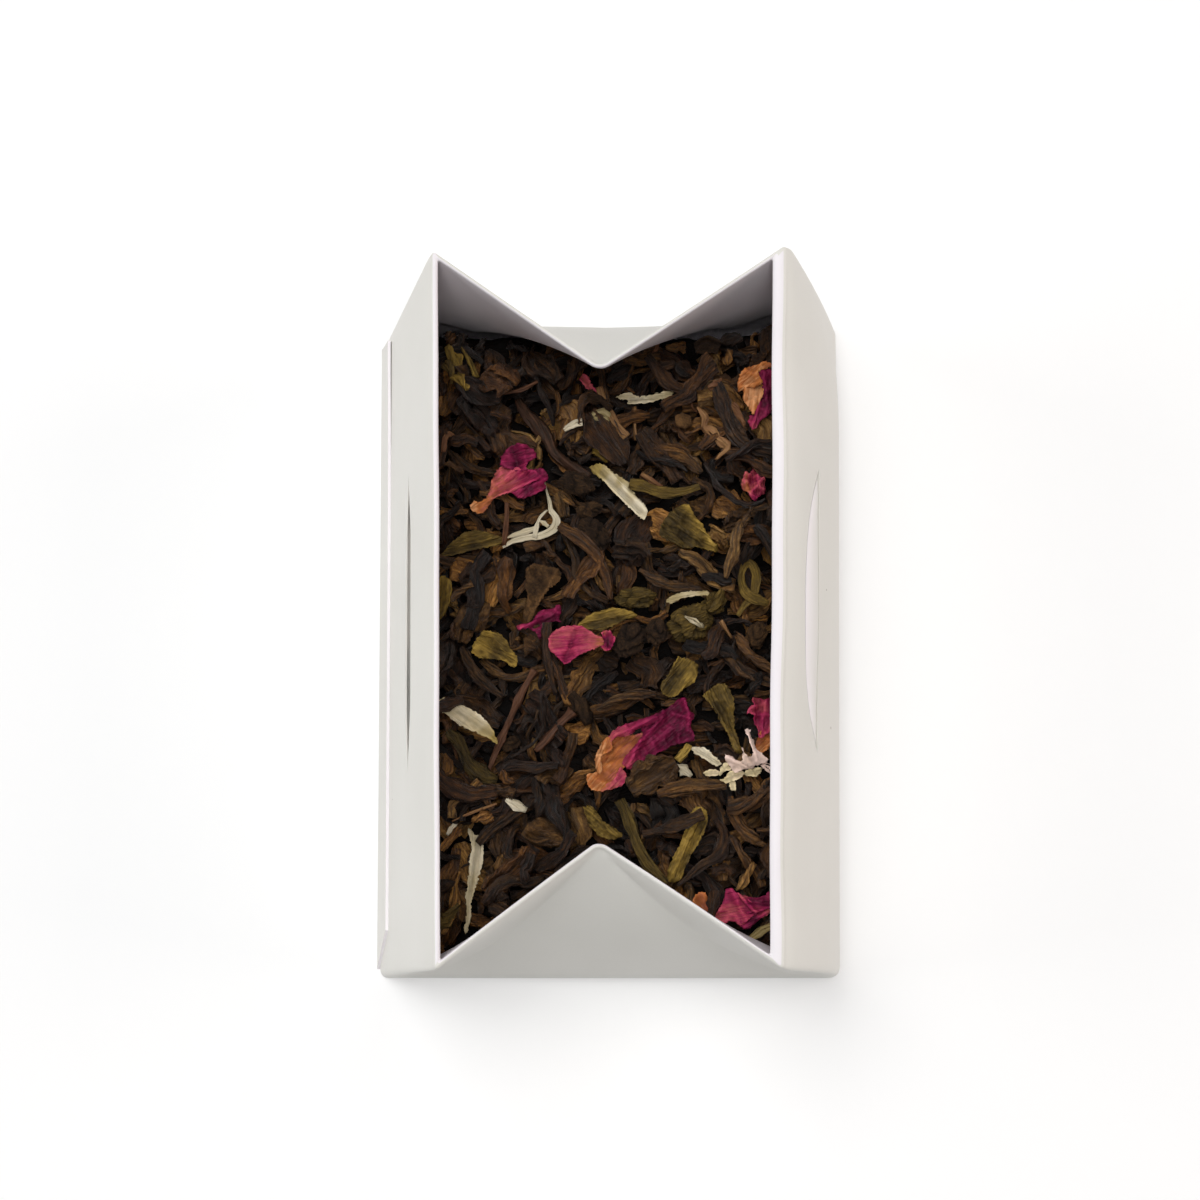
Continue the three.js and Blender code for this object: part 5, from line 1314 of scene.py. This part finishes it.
def lump_form(size, rng):
    """A wrapped, pitted lump with the given length, width and height, and how deep its points lie in folds, for
    painted shade in the wraps and hollows and painted highlight on the raised crumb ridges.
    """
    ball = bmesh.new()
    bmesh.ops.create_icosphere(ball, subdivisions=5, radius=1)
    unit = np.array([v.co for v in ball.verts])
    faces = [[v.index for v in f.verts] for f in ball.faces]
    ball.free()
    p = unit * LUMP_SCALE
    spin = p[:, 0] * 0.8 + 0.7 * np.sin(p[:, 1] * 1.3 + rng.uniform(0, 6))
    wraps = (1 - np.abs(np.sin(1.6 * spin + 1.1 * p[:, 2] + rng.uniform(0, 6)))) ** 2
    crumbs = ridged(p[:, 0] + p[:, 2], p[:, 1] - 0.7 * p[:, 2], rng, 1.7)
    pits = ridged(p[:, 0] - p[:, 1], p[:, 2], rng, 4.5)
    swell = 1 - LUMP_FOLDS * 1.5 * wraps + LUMP_FOLDS * 0.55 * crumbs + LUMP_FOLDS * 0.22 * pits
    # Painted shade in the wrapped folds and hollows, painted highlight on the raised crumb ridges.
    fold = 0.6 * wraps - 0.3 * crumbs - 0.3 * pits - 0.2
    return unit * swell[:, None] * np.array(size) / 2, faces, unit * np.array(size) / 2, fold


def show_lumps(node, material, slot, lumps, seed):
    """Lumps at places in the photograph, together in their CAD node's place: x, y, size, turn, tone."""
    rng = np.random.default_rng(seed)
    spots = on_tea([(x, y) for x, y, _, _, _ in lumps])
    shift, _, low = keep_near(node, spots.mean(0))
    pile = Pile()
    for spot, (_, _, size, turn, tone) in zip(spots, lumps):
        places, faces, grain, fold = lump_form(size, rng)
        c, s = math.cos(math.radians(turn)), math.sin(math.radians(turn))
        places = places @ np.array([[c, s, 0], [-s, c, 0], [0, 0, 1]])
        places += [*(spot + shift), low + size[2] / 2]
        pile.add(places, faces, grain + rng.uniform(-50, 50, 3), tone, fold)
    show(pile, "rolled_" + node, material, slot, node, WIDE)


brown_skin = plant_finish("brown_skin", [
    (0.0, (34, 22, 14)), (0.35, (62, 44, 29)), (0.65, (96, 69, 41)), (1.0, (144, 104, 62)),
], along=1.0, scale=3.0, streak=0.6, cloud=0.4, relief=0.0008, roughness=(0.6, 0.85), wrinkle=0.0)

show_lumps("brown_nugget_1", brown_skin, "brown_leaf", [
    (578, 486, (5.6, 3.6, 3.2), -20, 0.38), (595, 538, (6.2, 4.2, 3.0), -55, 0.32),
    (590, 512, (4.2, 2.6, 2.2), 10, 0.45)], seed=101)
show_lumps("brown_nugget_2", brown_skin, "brown_leaf", [
    (630, 648, (5.8, 4.4, 3.6), 60, 0.32), (656, 640, (4.4, 3.3, 3.4), 80, 0.38)], seed=102)
show_lumps("brown_nugget_3", brown_skin, "brown_leaf", [(755, 642, (4.3, 3.2, 2.4), 70, 0.6)], seed=103)
show_lumps("green_nugget_1", green_skin, "green_leaf", [
    (690, 628, (7.6, 5.8, 4.0), 25, 0.46), (714, 608, (4.2, 3.4, 2.8), 40, 0.38)], seed=104)
show_lumps("green_nugget_2", green_skin, "green_leaf", [(636, 602, (6.4, 3.4, 2.6), 5, 0.4)], seed=105)
show_sheets("brown_nugget_4", brown_skin, "brown_leaf", [dict(
    outline=[(527, 570), (536, 565), (548, 568), (560, 572), (561, 583), (551, 592), (542, 604), (536, 618),
        (530, 626),
            (524, 618), (528, 600), (526, 585)],
    tones=[(535, 572, 0.5), (552, 575, 0.62), (556, 584, 0.8), (540, 604, 0.75), (530, 620, 0.8), (533, 590, 0.4)],
    folds=[(558, 574, 530, 622, 0.6, 0.4),
        (532, 572, 545, 590, -0.5, 0.5)], cup=0.4, roll=0.35, ripple=0.3)], seed=106)


# --- Stalks and dark leaves in view -------------------------------------------------------------------
# Thin reddish stalks with small knots, and the black leaves that lie whole on top of the heap.

stalk_skin = plant_finish("stalk_skin", [
    (0.0, (44, 30, 20)), (0.4, (92, 60, 42)), (0.7, (120, 80, 54)), (1.0, (156, 116, 74)),
], along=0.15, scale=3.0, streak=0.34, cloud=0.24, bump=0.9, relief=0.0003, roughness=(0.5, 0.7), wrinkle=0.4)

STALKS = {
    "stalk_1": ([(536, 673, 0.3), (523, 695), (513, 717), (502, 742), (490, 772)],
                [1.4, 1.0, 1.0, 1.25, 0.95, 1.0, 0.95, 1.2, 0.85, 0.85, 0.7],
                dict(tone=0.42)),
    "stalk_2": ([(574, 716), (566, 724), (557, 733), (547, 745), (537, 755)],
                [1.6, 1.1, 1.0, 1.45, 1.0, 1.0, 1.35, 1.0, 1.3, 0.9],
                dict(tone=0.35)),
    "stalk_3": ([(517, 393, 0.2), (525, 407), (537, 421), (547, 436), (555, 452), (570, 465), (590, 479)],
                [1.5, 2.2, 2.4, 1.9, 1.7, 1.5, 1.2], dict(tone=0.12, ridge=0.35, twist=2.5)),
}
for seed, (node, strip) in enumerate(STALKS.items()):
    strip[2].update(flat=0.9, cup=0.0)
    show_strips(node, stalk_skin, "stalk", [strip], seed=seed + 110, lift=0.6)


def node_line(node, count=5):
    """The middle line of a long CAD node, from the mean of its points in slices along its main axis."""
    points = np.array([v.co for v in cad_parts[node].data.vertices]) / MM
    middle = points.mean(0)
    axis = np.linalg.svd(points - middle, full_matrices=False)[2][0]
    along = (points - middle) @ axis
    edges = np.linspace(along.min(), along.max(), count + 1)
    line = [points[(along >= a - 1e-6) & (along <= b + 1e-6)].mean(0) for a, b in zip(edges, edges[1:])]
    line[0] = line[0] + axis * (along.min() - (line[0] - middle) @ axis)
    line[-1] = line[-1] + axis * (along.max() - (line[-1] - middle) @ axis)
    return np.array(line)


for number in range(1, 13):
    node = f"black_leaf_{number}"
    rng = np.random.default_rng(number + 130)
    path = through(node_line(node), 18)
    width = rng.uniform(1.9, 2.6)
    places, faces, grain, _, _, crest = leaf_form(
        path, width * np.array([0.5, 0.9, 1.0, 0.95, 0.75, 0.4]), rng, flat=rng.uniform(0.5, 0.75),
        twist=rng.normal(0, 1.5), ridge=0.34, ridges=int(rng.integers(4, 7)), sides=20)
    pile = Pile()
    # The last value is painted shade in the leaf's grooves and painted highlight on its ridges.
    pile.add(places, faces, grain, rng.uniform(0.3, 0.6), 0.3 - 0.85 * crest)
    show(pile, "dried_" + node, black_tea, "black_tea", node, WIDE)


# --- The heap under and around them -------------------------------------------------------------------
# The mass of black tea, laid from below: it stays under the pieces in view, then closes up round them.

for places, _ in shown_pieces:
    i, j = heap.cells(places[:, 0], places[:, 1])
    np.minimum.at(heap.limit, (i, j), places[:, 2] - 0.02)

piles = {name: Pile() for name in ("tea_below", "tea_surface_1", "tea_surface_2", "tea_on_top")}
lower, first, second, last = piles.values()
fill_heap(heap, [lower], 520, dict(strand=0.45, flake=0.4, hook=0.05, bit=0.1), 6, aim - 1.6, chance, fine=False)
fill_heap(heap, [first, second], 660, dict(strand=0.34, flake=0.42, hook=0.04, bit=0.2), 8, aim, chance)
for places, weight in shown_pieces:
    i, j = heap.cells(places[:, 0], places[:, 1])
    np.maximum.at(heap.top, (i, j), places[:, 2])
    heap.shown[i, j] = weight
heap.limit[:] = 99
fill_heap(heap, [last], 420, dict(strand=0.3, flake=0.26, hook=0.04, bit=0.4), 8, aim + 0.5, chance)


def lay_bits(name, material, slot, bits, seed):
    """Bits in view that are too small for a node of their own, laid on the heap at their places."""
    rng = np.random.default_rng(seed)
    pile = Pile()
    for line, widths, tone, extra in bits:
        rough = photo_path(line)
        path = through(rough, max(7, int(np.linalg.norm(np.diff(rough, axis=0), axis=1).sum() / 0.5)))
        shape = dict(flat=0.5, twist=0.8, ridge=0.3, ridges=5, wave=0.1, sides=18) | extra
        places, faces, grain, wide, high, crest = leaf_form(path, widths, rng, **shape)
        rise, _, cells, top = heap.rest(path, wide, high, 0.6)
        places[:, 2] += rise(places)
        np.maximum.at(heap.top, cells, top - 0.05)
        # The last value is painted shade in the bit's grooves and painted highlight on its ridges.
        pile.add(places, faces, grain, tone, 0.18 - 0.36 * crest)
    pile.build(name, material, slot, "loose_tea")


FLAT_BIT = dict(flat=0.12, wave=0.3, waves=2.4, cup=0.8, twist=0.3, ridge=0.05, sides=22, start_turn=0.1)
CURLED = dict(flat=0.2, wave=0.4, waves=1.6, cup=1.2, twist=2.6, ridge=0.1, sides=20)
lay_bits("dark_leaves_on_top", black_tea, "black_tea", [
    ([(630, 796), (645, 786), (660, 777), (674, 768)], [3.0, 6.0, 6.2, 2.6], 0.5, FLAT_BIT),
    ([(437, 716), (450, 711), (467, 707)], [1.6, 2.4, 1.4], 0.3, {}),
    ([(712, 893), (711, 905), (708, 920)], [1.8, 1.9, 1.0], 0.3, FLAT_BIT),
    ([(549, 630), (547, 655), (552, 680), (557, 698)], [1.5, 1.6, 1.7, 1.2], 0.32, dict(twist=1.0, ridge=0.2)),
    ([(560, 527), (577, 562), (577, 580), (590, 597), (609, 606)], [1.0, 1.8, 1.6, 1.5, 1.2], 0.36, {}),
    ([(590, 413), (600, 428), (612, 444), (627, 464)], [3.4, 5.2, 5.4, 1.6], 0.3, FLAT_BIT),
    ([(641, 436), (652, 450), (664, 462), (677, 484)], [2.4, 3.6, 3.0, 2.2], 0.3, FLAT_BIT),
    ([(716, 392), (722, 412), (735, 440), (752, 456),
        (770, 462)], [1.6, 2.6, 2.4, 1.9, 1.6], 0.28, dict(ridge=0.4)),
    ([(648, 358), (670, 386, 0.3), (692, 392, 0.2), (716, 376)], [1.4, 2.0, 1.6, 1.8], 0.3, dict(ridge=0.4)),
    ([(714, 822), (722, 838), (716, 858), (700, 868),
        (676, 888)], [1.0, 2.4, 1.8, 1.0, 0.6], 0.3, dict(ridge=0.4)),
    ([(438, 778), (452, 790), (474, 800), (500, 796)], [2.4, 3.0, 2.6, 2.0], 0.34, dict(ridge=0.4)),
    ([(642, 838), (668, 832), (700, 820)], [2.0, 2.8, 2.4], 0.36, dict(ridge=0.4)),
], seed=140)
lay_bits("small_stalks", stalk_skin, "stalk", [
    ([(600, 389), (605, 402), (610, 412), (618, 425),
        (627, 438)], [1.7, 1.5, 1.2, 1.1, 1.5], 0.95, dict(flat=0.3)),
    ([(635, 405), (635, 420), (637, 439)], [1.0, 0.8, 1.2], 0.9, {}),
    ([(691, 399), (693, 408), (699, 414)], [0.9, 0.7, 0.4], 0.6, {}),
    ([(698, 412), (706, 422, 0.2), (704, 431), (711, 437), (719, 446, 0.2), (728, 452), (722, 458), (716, 464)],
     [0.6, 1.7, 0.9, 1.6, 1.2, 2.0, 1.2, 0.8], 0.95, CURLED),
    ([(721, 412), (730, 418), (738, 424), (742, 431)], [2.2, 3.4, 3.0, 1.4], 0.8, FLAT_BIT),
    ([(444, 455), (446, 442), (452, 436), (454, 442)], [0.8, 0.9, 0.8, 0.5], 0.7, {}),
    ([(719, 630), (724, 637), (730, 645)], [0.9, 1.1, 0.7], 0.95, {}),
    ([(656, 355), (658, 345), (661, 338)], [1.2, 1.0, 0.6], 0.7, {}),
    ([(642, 476), (652, 482), (663, 488)], [0.7, 1.0, 0.8], 0.85, {}),
    ([(708, 398), (718, 392), (721, 388)], [0.8, 1.4, 0.8], 0.7, {}),
    ([(508, 505), (507, 525), (504, 545)], [0.9, 1.0, 0.8], 0.5, {}),
    ([(497, 398), (520, 392), (538, 382)], [0.5, 0.8, 0.5], 0.4, {}),
    ([(457, 826), (474, 818), (500, 808)], [0.3, 0.5, 0.3], 0.9, {}),
], seed=141)
lay_bits("small_brown_bits", brown_skin, "brown_leaf", [
    ([(676, 426), (684, 425),
        (692, 424)], [1.6, 2.6, 2.6, 1.6], 0.85, dict(flat=0.9, ridge=0.05, wave=0, start_turn=0)),
    ([(696, 352), (708, 350), (720, 354)], [2.4, 3.8, 3.8, 2.2], 0.3, FLAT_BIT),
    ([(588, 402), (600, 404), (612, 412)], [1.2, 1.8, 1.4], 0.4, CURLED),
    ([(572, 700), (582, 712), (590, 728)], [1.8, 3.0, 3.2, 1.6], 0.4, dict(flat=0.7, ridge=0.4)),
    ([(505, 752), (512, 745), (520, 740)], [1.4, 2.6, 1.6], 0.42, dict(flat=0.8, ridge=0.5)),
], seed=144)
lay_bits("small_white_bits", white_skin, "white_petal", [
    ([(565, 433), (573, 428), (583, 426)], [0.7, 1.4, 1.3], 0.05, FLAT_BIT),
    ([(594, 418), (602, 415), (611, 420)], [1.2, 1.9, 1.2], 0.5, FLAT_BIT),
    ([(509, 803), (518, 808), (529, 813)], [0.9, 1.8, 1.0], 0.05, FLAT_BIT),
    ([(451, 838), (456, 831), (460, 826)], [0.4, 0.9, 0.5], 0.1, FLAT_BIT),
    ([(674, 772), (682, 774), (690, 781)], [0.8, 1.9, 0.6], 0.1, FLAT_BIT),
    ([(684, 624), (693, 628), (703, 634)], [0.5, 1.2, 0.8], 0.25, CURLED),
    ([(744, 940), (756, 932), (768, 926)], [0.6, 1.4, 0.8], 0.6, FLAT_BIT),
], seed=142)
lay_bits("small_green_bits", green_skin, "green_leaf", [
    ([(447, 350), (454, 361), (462, 374)], [1.6, 2.4, 1.6], 0.62, CURLED),
    ([(462, 350), (470, 364), (478, 382)], [1.1, 1.6, 1.3], 0.6, {}),
    ([(457, 386), (464, 395), (471, 405)], [1.6, 2.0, 1.4], 0.7, CURLED),
    ([(446, 372), (453, 380), (456, 392)], [1.4, 1.8, 1.0], 0.4, CURLED),
    ([(688, 750), (684, 757), (676, 766)], [1.0, 1.3, 1.2], 0.85, {}),
    ([(593, 450), (601, 453), (608, 462)], [1.6, 1.8, 1.0], 0.7, CURLED),
    ([(441, 912), (448, 922), (456, 915), (464, 906)], [1.8, 2.4, 2.0, 1.2], 0.45, CURLED),
    ([(722, 596), (716, 610), (708, 618)], [1.2, 1.8, 1.2], 0.5, CURLED),
], seed=143)
for name, pile in piles.items():
    pile.build(name, black_tea, "black_tea", "loose_tea")


# --- Floor and light ----------------------------------------------------------------------------------
# A plain white floor under large soft lamps: one straight above, one high over the far left and a low
# one at either side, the right one warmer.

FLOOR_GLOW, WORLD_GLOW = 0.185, 0.155

floor_mesh = bpy.data.meshes.new("floor")
floor_mesh.from_pydata([(-3, -3, 0), (3, -3, 0), (3, 3, 0), (-3, 3, 0)], [], [(0, 1, 2, 3)])
floor = bpy.data.objects.new("floor", floor_mesh)
scene.collection.objects.link(floor)
white_floor = bpy.data.materials.new("white_floor")
white_floor.use_nodes = True
tree = white_floor.node_tree
tree.nodes.clear()
matt = add_node(tree, "BsdfDiffuse", Color=(0.8, 0.8, 0.8, 1))
seen = add_node(tree, "LightPath")
rays = add_node(tree, "Math", dict(operation="MAXIMUM"))
level = add_node(tree, "Math", dict(operation="MULTIPLY"), _1=FLOOR_GLOW)
glow = add_node(tree, "Emission", Color=(1, 1, 1, 1))
total = add_node(tree, "AddShader")
output = add_node(tree, "OutputMaterial")
join(tree, (seen, "Is Camera Ray", rays, 0), (seen, "Is Glossy Ray", rays, 1), (rays, "Value", level, 0),
     (level, "Value", glow, "Strength"), (matt, "BSDF", total, 0), (glow, "Emission", total, 1),
     (total, "Shader", output, "Surface"))
floor_mesh.materials.append(white_floor)


def add_lamp(name, place, size, power, colour=(1, 1, 1)):
    """A square soft lamp that points at the sachet."""
    data = bpy.data.lights.new(name, "AREA")
    data.shape, data.size, data.energy, data.color = "SQUARE", size, power, colour
    lamp = bpy.data.objects.new(name, data)
    lamp.location = place
    lamp.rotation_euler = (-Vector(place)).to_track_quat("-Z", "Y").to_euler()
    scene.collection.objects.link(lamp)


add_lamp("key", (-0.5, 0.6, 1.5), 0.9, 8.9)
add_lamp("overhead", (0, -0.05, 1.6), 0.9, 12.6)
add_lamp("left_side", (-1.4, 0.1, 0.5), 0.8, 5.7)
add_lamp("right_side", (1.4, 0.1, 0.5), 0.8, 7.0, (1, 0.88, 0.81))

world = bpy.data.worlds.new("studio")
scene.world = world
world.use_nodes = True
world.node_tree.nodes["Background"].inputs["Color"].default_value = (1, 1, 1, 1)
world.node_tree.nodes["Background"].inputs["Strength"].default_value = WORLD_GLOW
scene.view_settings.view_transform = "Standard"
